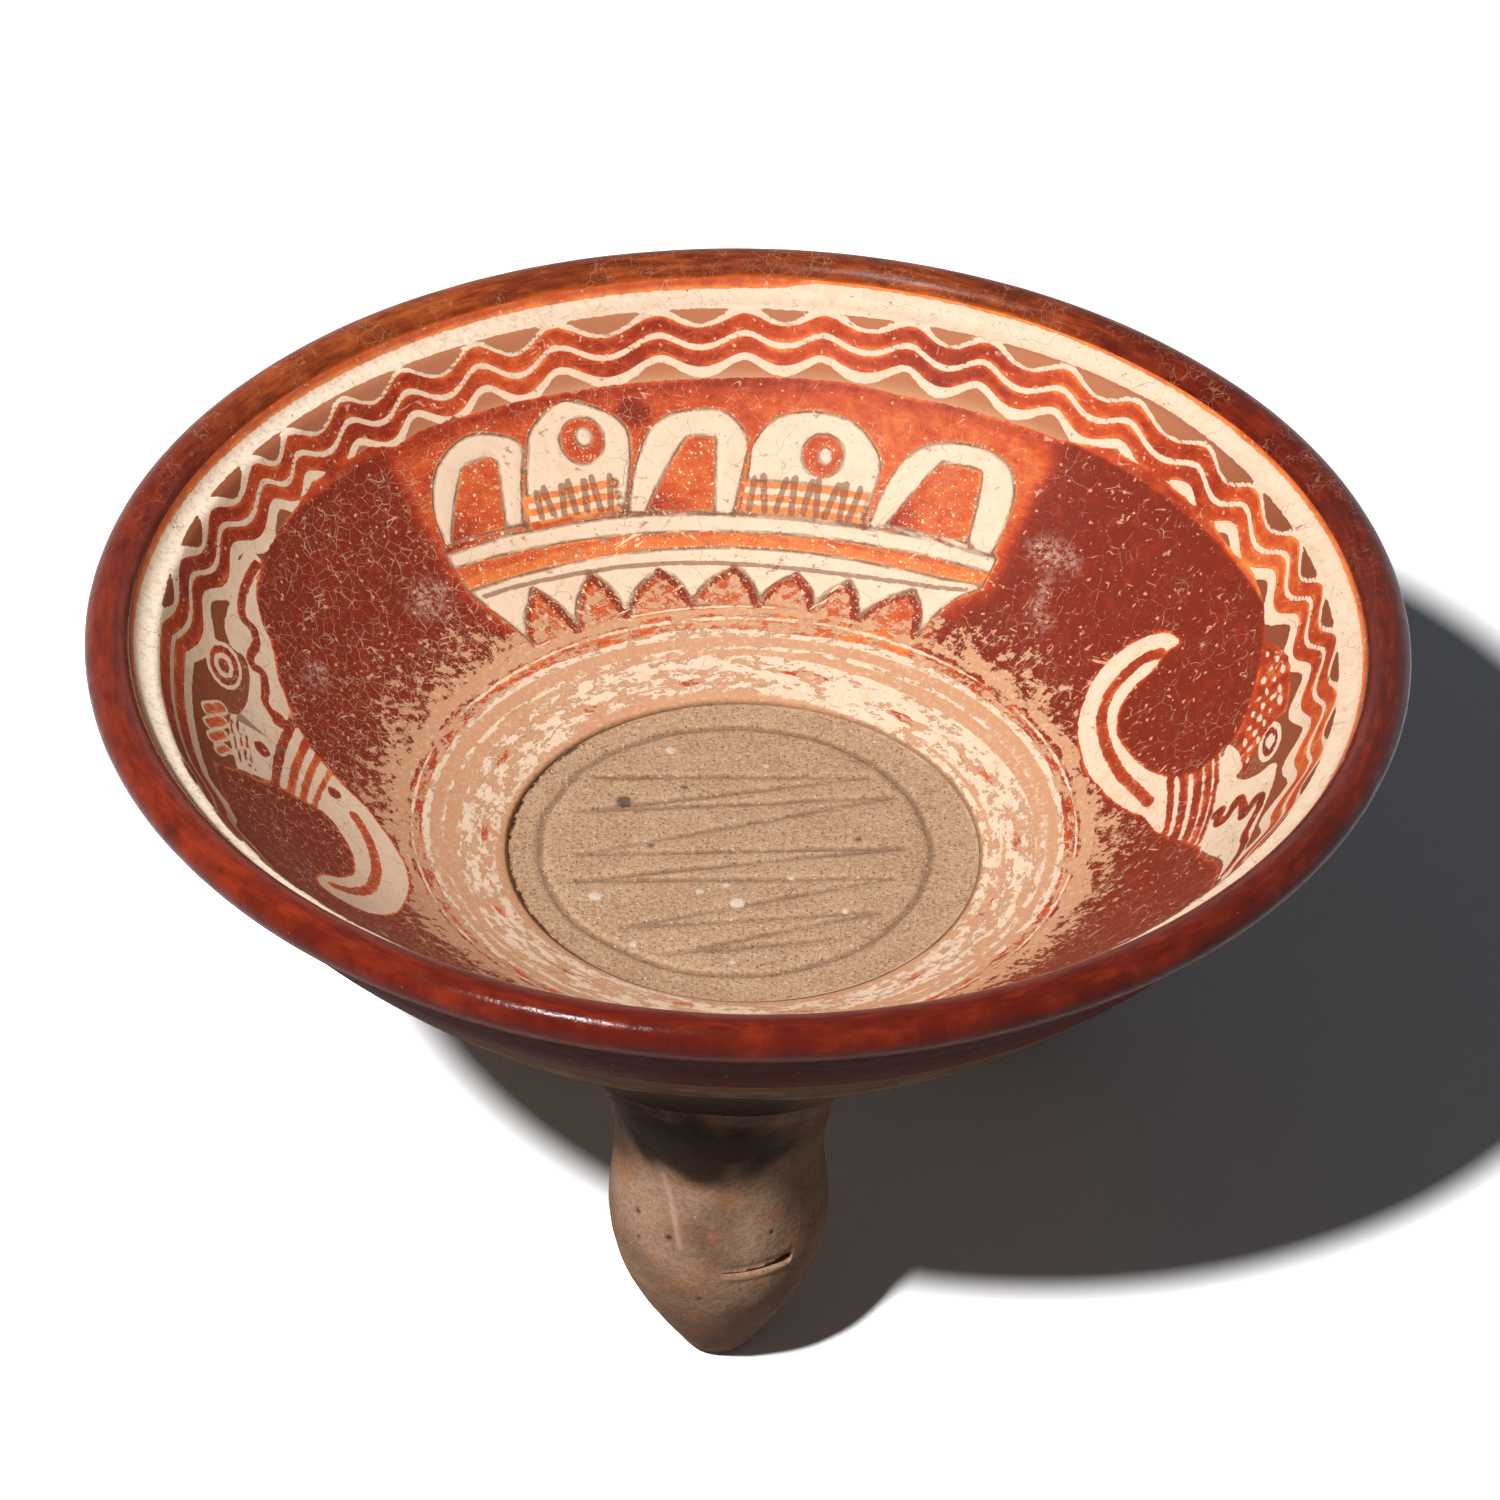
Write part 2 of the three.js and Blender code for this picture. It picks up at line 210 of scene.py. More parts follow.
class Section:
    """The bowl's outlines in millimetres of radius and height"""

    def __init__(self, sizes):
        self.rim = sizes.rim_diameter / MM / 2
        self.lip = sizes.lip_height / MM
        self.coil = sizes.lip_coil_diameter / MM / 2
        self.ring = self.rim - self.coil
        self.floor = sizes.floor_diameter / MM / 2
        self.level = self.lip - sizes.floor_depth / MM
        self.dish_top = self.level + sizes.floor_dish / MM
        self.foot = self.dish_top + sizes.floor_step / MM
        self.throat = self.rim - 2 * self.coil - sizes.flange_width / MM
        self.throat_level = self.lip - sizes.throat_depth / MM
        rise = np.array(WALL_SHARES) * (self.throat - self.floor, self.throat_level - self.foot)
        self.inner = flowing(rise + (self.floor, self.foot), 40)
        share = np.linspace(0, 1, len(self.inner))
        thickness = np.interp(share, np.linspace(0, 1, len(THICKNESS_SHARES)), THICKNESS_SHARES)
        outer = beside(self.inner, thickness * sizes.wall_thickness / MM)
        self.outer = outer[share >= BEVEL_SHARE]
        under = self.level - sizes.floor_thickness / MM
        level_edge = (self.floor * LEVEL_SHARE, under)
        self.floor_under = np.array([(0, under), level_edge, outer[0], self.outer[0]])
        self.underside = np.vstack([self.floor_under[:-1], self.outer])

    def under(self, radius):
        return np.interp(radius, *self.underside.T)

    def seat(self, turn, gap):
        """A point beside the lip coil's middle, by its turn in degrees"""
        reach, turn = self.coil + gap, math.radians(turn)
        return self.ring + reach * math.cos(turn), self.lip + reach * math.sin(turn)


def spun(points, columns, closed=False, marks=None, mark="up"):
    """A bmesh of points of radius and height spun round the Z axis, with marks kept on its points"""
    bm = bmesh.new()
    layer = bm.verts.layers.float.new(mark)
    verts = [bm.verts.new((r * MM, 0, z * MM)) for r, z in points]
    for vert, value in zip(verts, points[:, 1] if marks is None else marks):
        vert[layer] = value
    pairs = zip(verts, verts[1:] + verts[:1] if closed else verts[1:])
    edges = [bm.edges.new(pair) for pair in pairs]
    bmesh.ops.spin(bm, geom=verts + edges, cent=(0, 0, 0), axis=(0, 0, 1), angle=math.tau,
                   steps=columns, use_merge=True)
    bmesh.ops.remove_doubles(bm, verts=bm.verts, dist=MM / 1000)
    bmesh.ops.recalc_face_normals(bm, faces=bm.faces)
    return bm


def mesh_of(bm, name):
    mesh = bpy.data.meshes.new(name)
    bm.to_mesh(mesh)
    bm.free()
    return mesh


def in_scene(name, data):
    thing = bpy.data.objects.new(name, data)
    bpy.context.scene.collection.objects.link(thing)
    return thing


def to_piece(name, bm, material, slot, *nodes, body=BODY):
    """Makes a bmesh a finished piece that stands for CAD nodes"""
    mesh = mesh_of(bm, name)
    mesh.shade_smooth()
    piece = in_scene(name, mesh)
    for finish in material if isinstance(material, tuple) else (material,):
        mesh.materials.append(finish)
    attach(piece, body)
    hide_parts(*nodes)
    return piece


def places(mesh, kind="co", unit=MM):
    """A mesh's points in millimetres"""
    flat = np.empty(len(mesh.vertices) * 3)
    mesh.vertices.foreach_get(kind, flat)
    return flat.reshape(-1, 3) / unit


def place(mesh, points):
    mesh.vertices.foreach_set("co", (points * MM).ravel())
    mesh.update()


def directions(mesh):
    return places(mesh, "normal", 1)


def reading(mesh, name):
    values = np.empty(len(mesh.vertices), np.float32)
    mesh.attributes[name].data.foreach_get("value", values)
    return values.astype(float)


def note(mesh, name, values):
    """Keeps one number at each point for the material to read"""
    layer = mesh.attributes.get(name) or mesh.attributes.new(name, "FLOAT", "POINT")
    layer.data.foreach_set("value", np.asarray(values, np.float32))


def lumps(points, grain, shift=0.0):
    """Smooth noise from -1 to 1 at points in millimetres, with bumps about a grain across"""
    away = Vector((shift, shift * 0.7, shift * 1.3))
    return np.array([noise.noise(Vector(p) / grain + away) for p in points])


def blend(values, low, high):
    t = np.clip((values - low) / (high - low), 0, 1)
    return t * t * (3 - 2 * t)


class Canvas:
    """The painted inside of the bowl: its points by turn and height, and the length of a degree there.
    Shapes give signed distances in millimetres, positive inside."""

    FAR = -9.0

    def __init__(self, turn, up, degree):
        self.turn, self.up, self.degree = turn, up, degree

    def close_to(self, points):
        """Which canvas points lie near these, and their turns brought to the same side"""
        turns, ups = points.T
        middle = (turns.min() + turns.max()) / 2
        turn = wrapped(self.turn - middle) + middle
        reach = -self.FAR
        spare = reach / self.degree.min()
        near = (turn > turns.min() - spare) & (turn < turns.max() + spare)
        near &= (self.up > ups.min() - reach) & (self.up < ups.max() + reach)
        return np.nonzero(near)[0], turn[near]

    def from_line(self, points, here, turn):
        """Distance from each near canvas point to a line of points"""
        best = np.full(len(here), -self.FAR)
        scale, up = self.degree[here], self.up[here]
        for (turn_a, up_a), (turn_b, up_b) in zip(points, points[1:]):
            ax, ay = (turn_a - turn) * scale, up_a - up
            bx, by = (turn_b - turn_a) * scale, up_b - up_a
            span = np.maximum(bx * bx + by * by, 1e-9)
            t = np.clip(-(ax * bx + ay * by) / span, 0, 1)
            best = np.minimum(best, np.hypot(ax + t * bx, ay + t * by))
        return best

    def area(self, points, smooth=True):
        outline = flowing(points, 5, closed=True) if smooth else np.array([*points, points[0]], float)
        here, turn = self.close_to(outline)
        up = self.up[here]
        inside = np.zeros(len(here), bool)
        for (turn_a, up_a), (turn_b, up_b) in zip(outline, outline[1:]):
            if up_a == up_b:
                continue
            crosses = (up_a > up) != (up_b > up)
            inside ^= crosses & (turn < turn_a + (up - up_a) * (turn_b - turn_a) / (up_b - up_a))
        distance = self.from_line(outline, here, turn)
        field = np.full(len(self.turn), self.FAR)
        field[here] = np.where(inside, distance, -distance)
        return field

    def stroke(self, points, width, smooth=True):
        line = flowing(points, 4) if smooth and len(points) > 2 else np.array(points, float)
        here, turn = self.close_to(line)
        field = np.full(len(self.turn), self.FAR)
        field[here] = width / 2 - self.from_line(line, here, turn)
        return field

    def oval(self, turn, up, half_turn, half_up):
        around = np.linspace(0, math.tau, 16, endpoint=False)
        return self.area(np.stack([turn + half_turn * np.cos(around), up + half_up * np.sin(around)], 1))

    def above(self, line):
        """Height over a line of points that runs right round the bowl"""
        turns, ups = np.array(sorted(line)).T
        return self.up - np.interp(self.turn % 360, turns, ups, period=360)

    def lines(self, lines):
        """Straight strokes, each by its two ends and its width"""
        return either(*(self.stroke([start, end], width) for start, end, width in lines))


def within(*fields):
    return np.minimum.reduce(fields)


def either(*fields):
    return np.maximum.reduce(fields)


# The great panel, seen opposite the viewer: points of turn and arc height. It is painted twice.
PANEL = ((134.6, 118), (134.6, 118), (134.6, 83), (133.5, 79), (130.4, 70), (129, 62), (129, 62),
         (60, 62), (60, 62), (58.6, 72), (56.6, 77), (53.6, 81), (53.6, 118), (53.6, 118))
PANEL_COPIES = (0, 178)
PANEL_MIDDLE = 94
TEETH_FOOT_UP = 66.4
ARCHES = (
    ((134, 92.6), (134, 92.6), (133, 100), (130, 107), (125, 110.5), (120.6, 108.4), (118.8, 105),
     (120.5, 98), (122.2, 90.6), (122.2, 90.6)),
    ((107.2, 88), (107.2, 88), (105, 97), (103, 103), (101, 105.7), (98.8, 106.9), (94.2, 107),
     (91.8, 104.2), (90.6, 100.5), (91.3, 94), (92.6, 85.8), (92.6, 85.8)),
    ((73.2, 86), (73.2, 86), (72, 95), (70.3, 101.3), (67.2, 105.2), (62, 106.8), (57.8, 105.3),
     (55.6, 101), (54.8, 95), (54.6, 87.6), (54.6, 87.6)),
)
ARCH_HEARTS = (
    ((133.4, 92), (133.4, 92), (127.6, 104.2), (126, 105.4), (123.2, 105.2), (122.4, 103.6), (124.6, 91),
     (124.6, 91)),
    ((105, 87.4), (105, 87.4), (98.7, 101), (97.5, 102), (95.3, 101.8), (94.5, 100.6), (95.1, 86.4),
     (95.1, 86.4)),
    ((70.9, 86.7), (70.9, 86.7), (66.3, 101), (65, 102), (61.2, 102.6), (60.2, 101), (58.6, 88.2),
     (58.6, 88.2)),
)
SHIELDS = (
    ((121.2, 90.5), (121.2, 90.5), (119.7, 98), (118.2, 104), (117, 108), (112.6, 112), (108.4, 109.3),
     (105.7, 105.3), (105.5, 100), (106.4, 94), (107.8, 88.3), (107.8, 88.3)),
    ((91.7, 86.2), (91.7, 86.2), (90.4, 94), (89.8, 100), (87.1, 105.4), (82.5, 107.2), (78, 106.1),
     (74.9, 102.2), (73.4, 98), (73.6, 93), (74.1, 85.8), (74.1, 85.8)),
)
SHIELD_EYES = ((111.2, 103.7, 2.8, 4.7), (81, 98.7, 2.7, 4.4))
SHIELD_PUPILS = ((110.9, 104.3, 1.0, 1.9), (80.7, 98.7, 0.8, 1.7))
# Comb under each eye: bars by turn and height, strokes by turn, and the comb's top and bottom
COMBS = (
    ((121.4, 108.3), (94.7, 92.2, 89.5), (119.3, 117.6, 116, 114.4, 112.7, 111, 109.3), (95.8, 88.6), 0.7),
    ((91.2, 74.3), (92.1, 89.4, 87.1), (90.1, 88.2, 86.2, 84.3, 82.5, 80.9, 79.2, 77.4, 75.9), (93.2, 86.2),
     0.9),
)
COMB_BAR, COMB_STROKE = 1.5, 1.45
COMB_TILTS = (0.6, -0.2, 0.9, 0.1)
BASE_TOP = ((140, 92), (130, 90), (125, 89.7), (120, 88.5), (110, 87.5), (100, 86.3), (90, 85.6),
            (80, 85.3), (73, 85.5), (65, 86.3), (57, 87), (50, 87.8))
BASE_UPPER = ((140, 89), (130, 87), (120, 85.1), (110, 83.8), (100, 82.8), (90, 82.3), (80, 82.2),
              (70, 82.5), (60, 83.5), (50, 85))
BASE_LOWER = ((140, 83.5), (130, 81.8), (120, 80.6), (110, 80), (100, 79.4), (90, 79), (80, 78.8),
              (70, 78.8), (60, 79.8), (50, 82.5))
BASE_SILL = ((133, 80.4), (125, 79.2), (120, 78.4), (110, 77.3), (100, 76.4), (90, 75.6), (80, 75.3),
             (70, 75.9), (60, 77.8), (55.5, 79.6))
TOOTH_PEAKS = ((125, 77.4), (115.3, 77), (104.5, 75.2), (92.5, 74.7), (82.5, 73.8), (74, 73.8), (63.5, 75.2))
TOOTH_VALLEYS = ((130.5, 67), (121, 66.4), (111.7, 66.9), (100, 67.4), (88.5, 67), (78.7, 66.4), (71, 66),
                 (59.5, 66.4))

# Rings painted low on the wall: half width and height, then the swing, waves and phase of their wander
RINGS = ((2.3, 62.9, 0.35, 3, 0), (0.6, 57.9, 0.5, 2, 1), (3.1, 52.6, 0.7, 3, 2), (0.9, 48.3, 0.4, 4, 0))
LOWEST_RING_UP = 46.3
# Red blotches among them: a ring, how deep its breaks are and how many
BLOTCHES = (((1.25, 62.9, 0.35, 3, 0), 0.5, 4.5), ((0.9, 51, 1.6, 5, 1), 0.9, 7))
# How worn the slips are at each height
WEAR_LEVELS = ((44, 0.46), (57, 0.47), (60, 0.4), (65, 0.38), (66, 0.9), (68, 0.66), (73, 0.44), (80, 0.22),
               (88, 0.1), (112, 0.08))
# Where the dark field starts, and the wavy band over it
FIELD_UP, WAVES_UP = 64.5, 112
# Wavy band below the lip: where its crests stand, and its stripes by mid height and thickness
CRESTS = (191, 181, 170, 161, 152, 146, 138, 130, 121, 112, 100.5, 91, 82.5, 73, 64.5, 55, 46, 35.5, 27,
          17.5, 9.5, 1, -8, -17)
HIDDEN_CRESTS = 17
WAVE_HEIGHT = 1.65
CREAM_WAVES = ((125.7, 1.6), (121.1, 1.35), (116.5, 1.6))
RED_WAVES = ((123.4, 3.3), (118.9, 3.2))
LIP_BAND = ((0, 127.4), (14, 127.6), (27, 128.2), (35, 128.6), (42, 129), (55, 128.5), (68, 127.6),
            (80, 126.9), (95, 127.1), (110, 127.4), (130, 128.1), (140, 128.6), (160, 128.9), (175, 127.6),
            (190, 127.2), (215, 128), (250, 127.3), (290, 128.4), (325, 127.4), (343, 127.6))
SLIP_EDGE = ((0, 132.6), (30, 132.8), (60, 133.3), (84, 133.2), (87.5, 131.9), (93, 131.6), (120, 131.8),
             (150, 131.9), (185, 132.5), (220, 131.5), (260, 132), (300, 131.6), (330, 132.2))
FIELD_TOP = ((0, 111), (12, 111.8), (15, 114), (20, 115.8), (25, 115.3), (30, 116.2), (40, 116.9),
             (47, 116.4), (50, 115), (53, 113.8), (65, 113.2), (73, 112.9), (80, 113.8), (95, 113.2),
             (110, 113.6), (120, 114.2), (130, 115), (134, 114.2), (137, 116.4), (146, 116.5), (150, 114.8),
             (155, 113.3), (159, 112.4), (175, 112), (200, 113.5), (215, 115), (240, 114.2), (260, 113),
             (285, 114.4), (312, 114), (325, 115.5), (340, 112))

# Right-hand scroll with its crest, eye and jaw
SCROLL = ((20.7, 96.6), (23.6, 95.8), (25.6, 93), (27.3, 88), (27.8, 83), (26.8, 77.5), (23.6, 72.6),
          (20, 70), (16, 68.8), (11, 68.4), (6.5, 69.7), (2, 71.6), (-2, 74.5), (-6, 78.6), (-9.6, 81),
          (-9.6, 81), (-4, 84.5), (0.6, 84), (0.6, 84), (4, 80.6), (9, 77.9), (14, 76.9), (17.8, 78.6),
          (19.7, 81.3), (20.5, 85), (20.4, 89), (21.3, 93))
SCROLL_CORE = ((22, 92), (23.2, 89.5), (23.6, 86), (23.4, 82), (22.3, 78.6), (19.8, 75.7), (16, 74.2),
               (11, 73.9), (6, 74.9), (2, 76.9), (-3, 79.8))
NECK = ((-1.2, 96.3), (-1.2, 96.3), (-2, 90), (0.6, 84), (0.6, 84), (-4, 80), (-9.6, 81), (-13.5, 85.5),
        (-17, 91), (-20.4, 96.4), (-20.4, 96.4))
NECK_STRIPES = (((-1.4, 95.4), (-19.8, 95.4), 0.8), ((-1.7, 93.6), (-18.4, 93.6), 1.6),
                ((-2, 90.9), (-16.6, 91), 2.2), ((-1.6, 87.7), (-14.6, 87.7), 2.1),
                ((0, 84.7), (-12.4, 84.8), 1.7))
FACE = ((-0.8, 98.2), (-0.8, 98.2), (-4, 100.9), (-7.2, 101.6), (-8.2, 100.4), (-9.9, 102.6),
        (-10.7, 106), (-10.3, 109.8), (-12.5, 111.3), (-22, 111.6), (-30, 114.6), (-33, 113), (-27.5, 108),
        (-23.5, 101), (-20.6, 96.6), (-20.6, 96.6), (-10, 96.5), (-3.4, 96.7))
JAW = ((-32, 113.4), (-26, 111.8), (-22.5, 109.4), (-17, 109.6), (-15.4, 107.6), (-18.2, 105.8),
       (-15.2, 104.2), (-13.3, 102.2), (-16.2, 100.6), (-16.4, 98.6), (-13.6, 97.9))
CREST_PLUME = ((10.6, 110.8), (9, 112.8), (5.5, 114.7), (1.5, 113.9), (-2.4, 112.4), (-2.4, 112.4),
               (-3, 108), (-5.6, 105), (-10, 102), (-10, 102), (-7.4, 101.9), (-2, 100.2), (1, 102),
               (5, 105.6), (8, 108.5))
PLUME_DOTS = ((8.6, 110.6), (6.8, 112.3), (4.6, 112.9), (6.2, 110.3), (4.2, 110.5), (5.3, 108.2),
              (3.2, 108.4), (2, 111.3), (1.6, 109.4), (3, 106.4), (1.4, 107), (0.2, 111), (-0.3, 108.6),
              (1.2, 104.6), (-0.3, 105.9), (-1.7, 107), (-0.8, 103.4), (-2.3, 104.6), (-3.9, 105.2),
              (-2.8, 102.2), (-4.5, 103.3), (-6.4, 102.9))
RIGHT_EYE = (-5.8, 108.3)
RIGHT_GROUND = ((12, 112.4), (7, 115.6), (-20, 115.8), (-34, 116), (-34, 113), (-28, 107), (-24, 100),
                (-20.4, 96.4), (-10, 96), (-1.2, 96.4), (-1, 99), (1, 102), (5, 105.6), (8, 108.5))

# Left-hand scroll with its eye, jaw and fangs
LEFT_SCROLL = ((213, 98), (215, 93), (215, 86), (212.5, 78.6), (209.5, 74.4), (206, 71), (202, 68.4),
               (197, 67.4), (192, 68.6), (188, 71.2), (185, 74.2), (182.5, 79.6), (182.5, 79.6),
               (186, 82.5), (191.4, 84.6), (191.4, 84.6), (193.3, 81.9), (197, 80.4), (200.6, 80.6),
               (204.2, 83), (206.9, 88), (208.2, 93), (210.5, 97))
LEFT_SCROLL_CORE = ((210.6, 93), (209.8, 87), (207.2, 81), (203.6, 77.3), (199.5, 75), (195, 74.4),
                    (191.5, 75.1), (188.6, 77))
LEFT_NECK = ((191.4, 97), (191.4, 97), (184, 95.2), (177.4, 93), (174.3, 93.6), (177, 90.2), (180, 85),
             (182.6, 79.6), (182.6, 79.6), (187, 80), (191.4, 84.5), (191.4, 84.5))
LEFT_STRIPES = (((191.3, 96), (177, 92.1), 2.3), ((191.3, 92.2), (178.3, 88.2), 1.9),
                ((191.3, 89.3), (179.7, 85.2), 1.7), ((191.3, 86.6), (181.3, 82.2), 1.2))
LEFT_HEAD = ((158.8, 113), (159.6, 115.8), (163, 115.3), (167, 113.2), (171.2, 111.8), (173.1, 108.5),
             (172.8, 105.7), (175, 103.3), (179, 102.6), (182.3, 104), (183.8, 106.2),
             (188, 106.4), (193.2, 105.8), (193.2, 105.8), (191.4, 97), (191.4, 97), (184, 95), (178, 93.1),
             (174.3, 93.8), (171.5, 97.4), (167.6, 101.2), (165.6, 105.4), (162.6, 109.6), (159.3, 111.7))
LEFT_JAW = ((160, 112.7), (163.5, 112), (166.7, 110.5), (167.8, 108.8), (167.8, 106.4), (169.4, 104.5),
            (172, 104.6), (173, 103.3), (172.8, 101), (174.6, 99.5), (176.6, 99), (177.9, 97.2),
            (178.3, 95))
LEFT_EYE = (176.7, 109.4)
LEFT_FANGS = (((183.7, 108.5), (186, 112.2), 2.2), ((186, 108.4), (188.4, 112), 2.1),
              ((188.3, 108.2), (190.6, 111.6), 1.9), ((190.7, 107.9), (192.4, 110.4), 1.5))
LEFT_LINES = (((191.2, 104.3), (184.3, 106.4), 0.8), ((191.2, 102.4), (183.6, 104.9), 0.8),
              ((191.2, 100.8), (184.4, 102.8), 0.7))
LEFT_SPIKE = ((183.9, 105), (183.9, 105), (182.9, 96.4), (182.9, 96.4), (182.1, 104.6), (182.1, 104.6))
LEFT_GROUND = ((158.9, 115.8), (163, 117), (175, 117), (194, 116), (193.4, 104), (191.4, 97), (184, 95),
               (178, 93.1), (174.3, 93.8), (171.5, 97.4), (167.6, 101.2), (165.6, 105.4), (162.6, 109.6),
               (159.1, 111.8))


def wrapped(degrees):
    """A turn brought to between -180 and 180"""
    return (degrees + 180) % 360 - 180


def repainted(values, *coats):
    """Values replaced, coat by coat, wherever a coat's field is over its edge"""
    for field, edge, value in coats:
        values = np.where(field > edge, value, values)
    return values


def paint_panel(wall, turn, top):
    """One great panel of arches, eyed shields and teeth: cream, red, tone, outlines and wear"""
    canvas = Canvas(wall.turn - turn, wall.up, wall.degree)
    up = canvas.up
    here = within(canvas.area(PANEL, smooth=False), -top)
    arches, shields, hearts = ([canvas.area(p) for p in shapes] for shapes in (ARCHES, SHIELDS, ARCH_HEARTS))
    eyes, pupils = ([canvas.oval(*oval) for oval in ovals] for ovals in (SHIELD_EYES, SHIELD_PUPILS))
    arches, shields = either(*arches), either(*shields)
    figures = either(arches, shields)
    around = wrapped(canvas.turn - PANEL_MIDDLE) + PANEL_MIDDLE
    over_top, over_upper, over_lower = (
        up - np.interp(around, *np.array(sorted(line)).T) for line in (BASE_TOP, BASE_UPPER, BASE_LOWER))
    base = within(here, -over_top, up - TEETH_FOOT_UP)

    teeth, tooth_sides = [], []
    for start, peak, end in zip(TOOTH_VALLEYS, TOOTH_PEAKS, TOOTH_VALLEYS[1:]):
        rise, fall = ([foot, ((foot[0] + peak[0]) / 2 + bulge, (foot[1] + peak[1]) / 2 + 0.9), peak]
                      for foot, bulge in ((start, 0.4), (end, -0.4)))
        teeth.append(canvas.area([start, *rise, peak, *fall[1::-1], end]))
        tooth_sides += [canvas.stroke(rise, 1.1), canvas.stroke(fall, 1.6)]
    teeth, tooth_sides = within(here, either(*teeth)), within(here, either(*tooth_sides))
    stripe = within(here, over_lower, -over_upper)
    bars, strokes, in_comb = [], [], []
    for (start, end), heights, turns, (high, low), lean in COMBS:
        in_comb.append(canvas.area([(start, high), (end, high), (end, low), (start, low)], smooth=False))
        bars += [canvas.stroke([(start, bar), (end, bar - 0.4)], COMB_BAR) for bar in heights]
        for order, a in enumerate(turns):
            tilt = lean * COMB_TILTS[order % 4]
            ends = [(a - tilt, high + 0.5 * (order % 2)), (a + tilt / 2, low)]
            strokes.append(canvas.stroke(ends, COMB_STROKE))
    bars, strokes = within(either(*bars), shields), within(either(*strokes), shields)
    ring = either(*(within(e, -p) for e, p in zip(eyes, pupils)))
    red = either(within(here, -figures, over_top), *(within(h, over_top) for h in hearts), ring, bars, stripe,
                 teeth, tooth_sides, within(here, up - 65.2, 66.6 - up))

    tone = 0.46 + 0.26 * blend(top, -5, -0.4) - 0.14 * blend(around, 100, 66)
    tone += 0.5 * blend(canvas.oval(104.5, 107.5, 2.2, 2.6), -1.5, 1.5)
    for heart, ((left, low), *_) in zip(hearts, ARCH_HEARTS):
        shade = np.clip(0.9 - wrapped(left - canvas.turn) / 12 - (up - low) / 40, 0.34, 0.9)
        tone = repainted(tone, (heart, -0.5, shade))
    tone = repainted(tone, (bars, -0.4, 0.08), (stripe, -0.4, np.where(over_lower > 2.6, 0.36, 0.16)),
                     (teeth, -0.4, 0.36), (tooth_sides, -0.2, 0.92), (ring, -0.4, 0.45))
    drawn = (here > -0.3) & (up > 67.5) & (either(*in_comb) < 0.3) & (either(figures, base) > -1)
    sill = within(here, canvas.stroke(BASE_SILL, 1.1))
    wear = repainted(0.14, (teeth, 0, 0.5 + 0.02 * (70 - up)), (tooth_sides, -0.2, 0.2), (up, 92.5, 0.1))
    return {"here": here, "cream": either(within(here, figures), base), "red": red, "tone": tone,
            "drawn": drawn.astype(float), "line": either(strokes, within(arches, shields) + 0.45, sill),
            "wear": wear}


def paint_right_head(canvas):
    """The right-hand scroll: its ground, cream, red and the red's tone"""
    eye_turn, eye_up = RIGHT_EYE
    plume = canvas.area(CREST_PLUME)
    dots = either(*(canvas.oval(a, up, 0.5 + 0.1 * (i % 4), 0.5 + 0.12 * (i % 3))
                    for i, (a, up) in enumerate(PLUME_DOTS)))
    neck, scroll = canvas.area(NECK), canvas.area(SCROLL)
    stripes = within(neck, canvas.lines(NECK_STRIPES))
    jaw = either(canvas.stroke(JAW, 2.1), canvas.oval(-14, 98, 1.2, 1.7))
    iris = within(canvas.oval(eye_turn, eye_up, 2.5, 1.9), -canvas.oval(eye_turn + 0.2, eye_up, 1.3, 0.9))
    cream = either(
        scroll, neck, canvas.area(FACE), canvas.oval(eye_turn, eye_up, 3.4, 2.8), within(plume, dots))
    red = either(within(plume, -dots), stripes, canvas.stroke(SCROLL_CORE, 2.5), jaw, iris)
    tone = repainted(0.68, (either(jaw, iris), -0.5, 0.95), (plume, -0.5, 0.66), (stripes, -0.5, 0.78))
    ground = either(canvas.area(RIGHT_GROUND), scroll, neck)
    return {"ground": ground, "cream": cream, "red": red, "tone": tone}


def paint_left_head(canvas):
    """The left-hand scroll with its jaw and fangs"""
    eye_turn, eye_up = LEFT_EYE
    neck, scroll, head = (canvas.area(points) for points in (LEFT_NECK, LEFT_SCROLL, LEFT_HEAD))
    stripes = within(neck, canvas.lines(LEFT_STRIPES))
    jaw_end = within(canvas.oval(178.3, 95.2, 1.35, 1.9), -canvas.oval(178.3, 95.2, 0.4, 0.6))
    jaw = either(canvas.stroke(LEFT_JAW, 2.1), jaw_end)
    iris = either(within(canvas.oval(eye_turn, eye_up, 2.9, 3.8), -canvas.oval(eye_turn, eye_up, 1.8, 2.5)),
                  canvas.oval(eye_turn, eye_up, 1.0, 1.5))
    marks = either(
        canvas.lines(LEFT_LINES), canvas.oval(186, 98.5, 1.3, 1.9), canvas.oval(185.6, 81.3, 1.2, 1.6))
    fangs = canvas.lines(LEFT_FANGS)
    cream = either(scroll, neck, head, canvas.oval(eye_turn, eye_up, 3.5, 4.6), fangs + 0.6)
    red = either(stripes, canvas.stroke(LEFT_SCROLL_CORE, 2.4), jaw, iris, marks, fangs)
    first = canvas.lines(LEFT_STRIPES[:1])
    tone = repainted(0.55, (either(iris, marks, jaw, first), -0.4, 0.88), (fangs, -0.4, 0.42))
    ground = either(canvas.area(LEFT_GROUND), scroll, neck)
    return {"ground": ground, "cream": cream, "red": red, "tone": tone, "line": canvas.area(LEFT_SPIKE)}


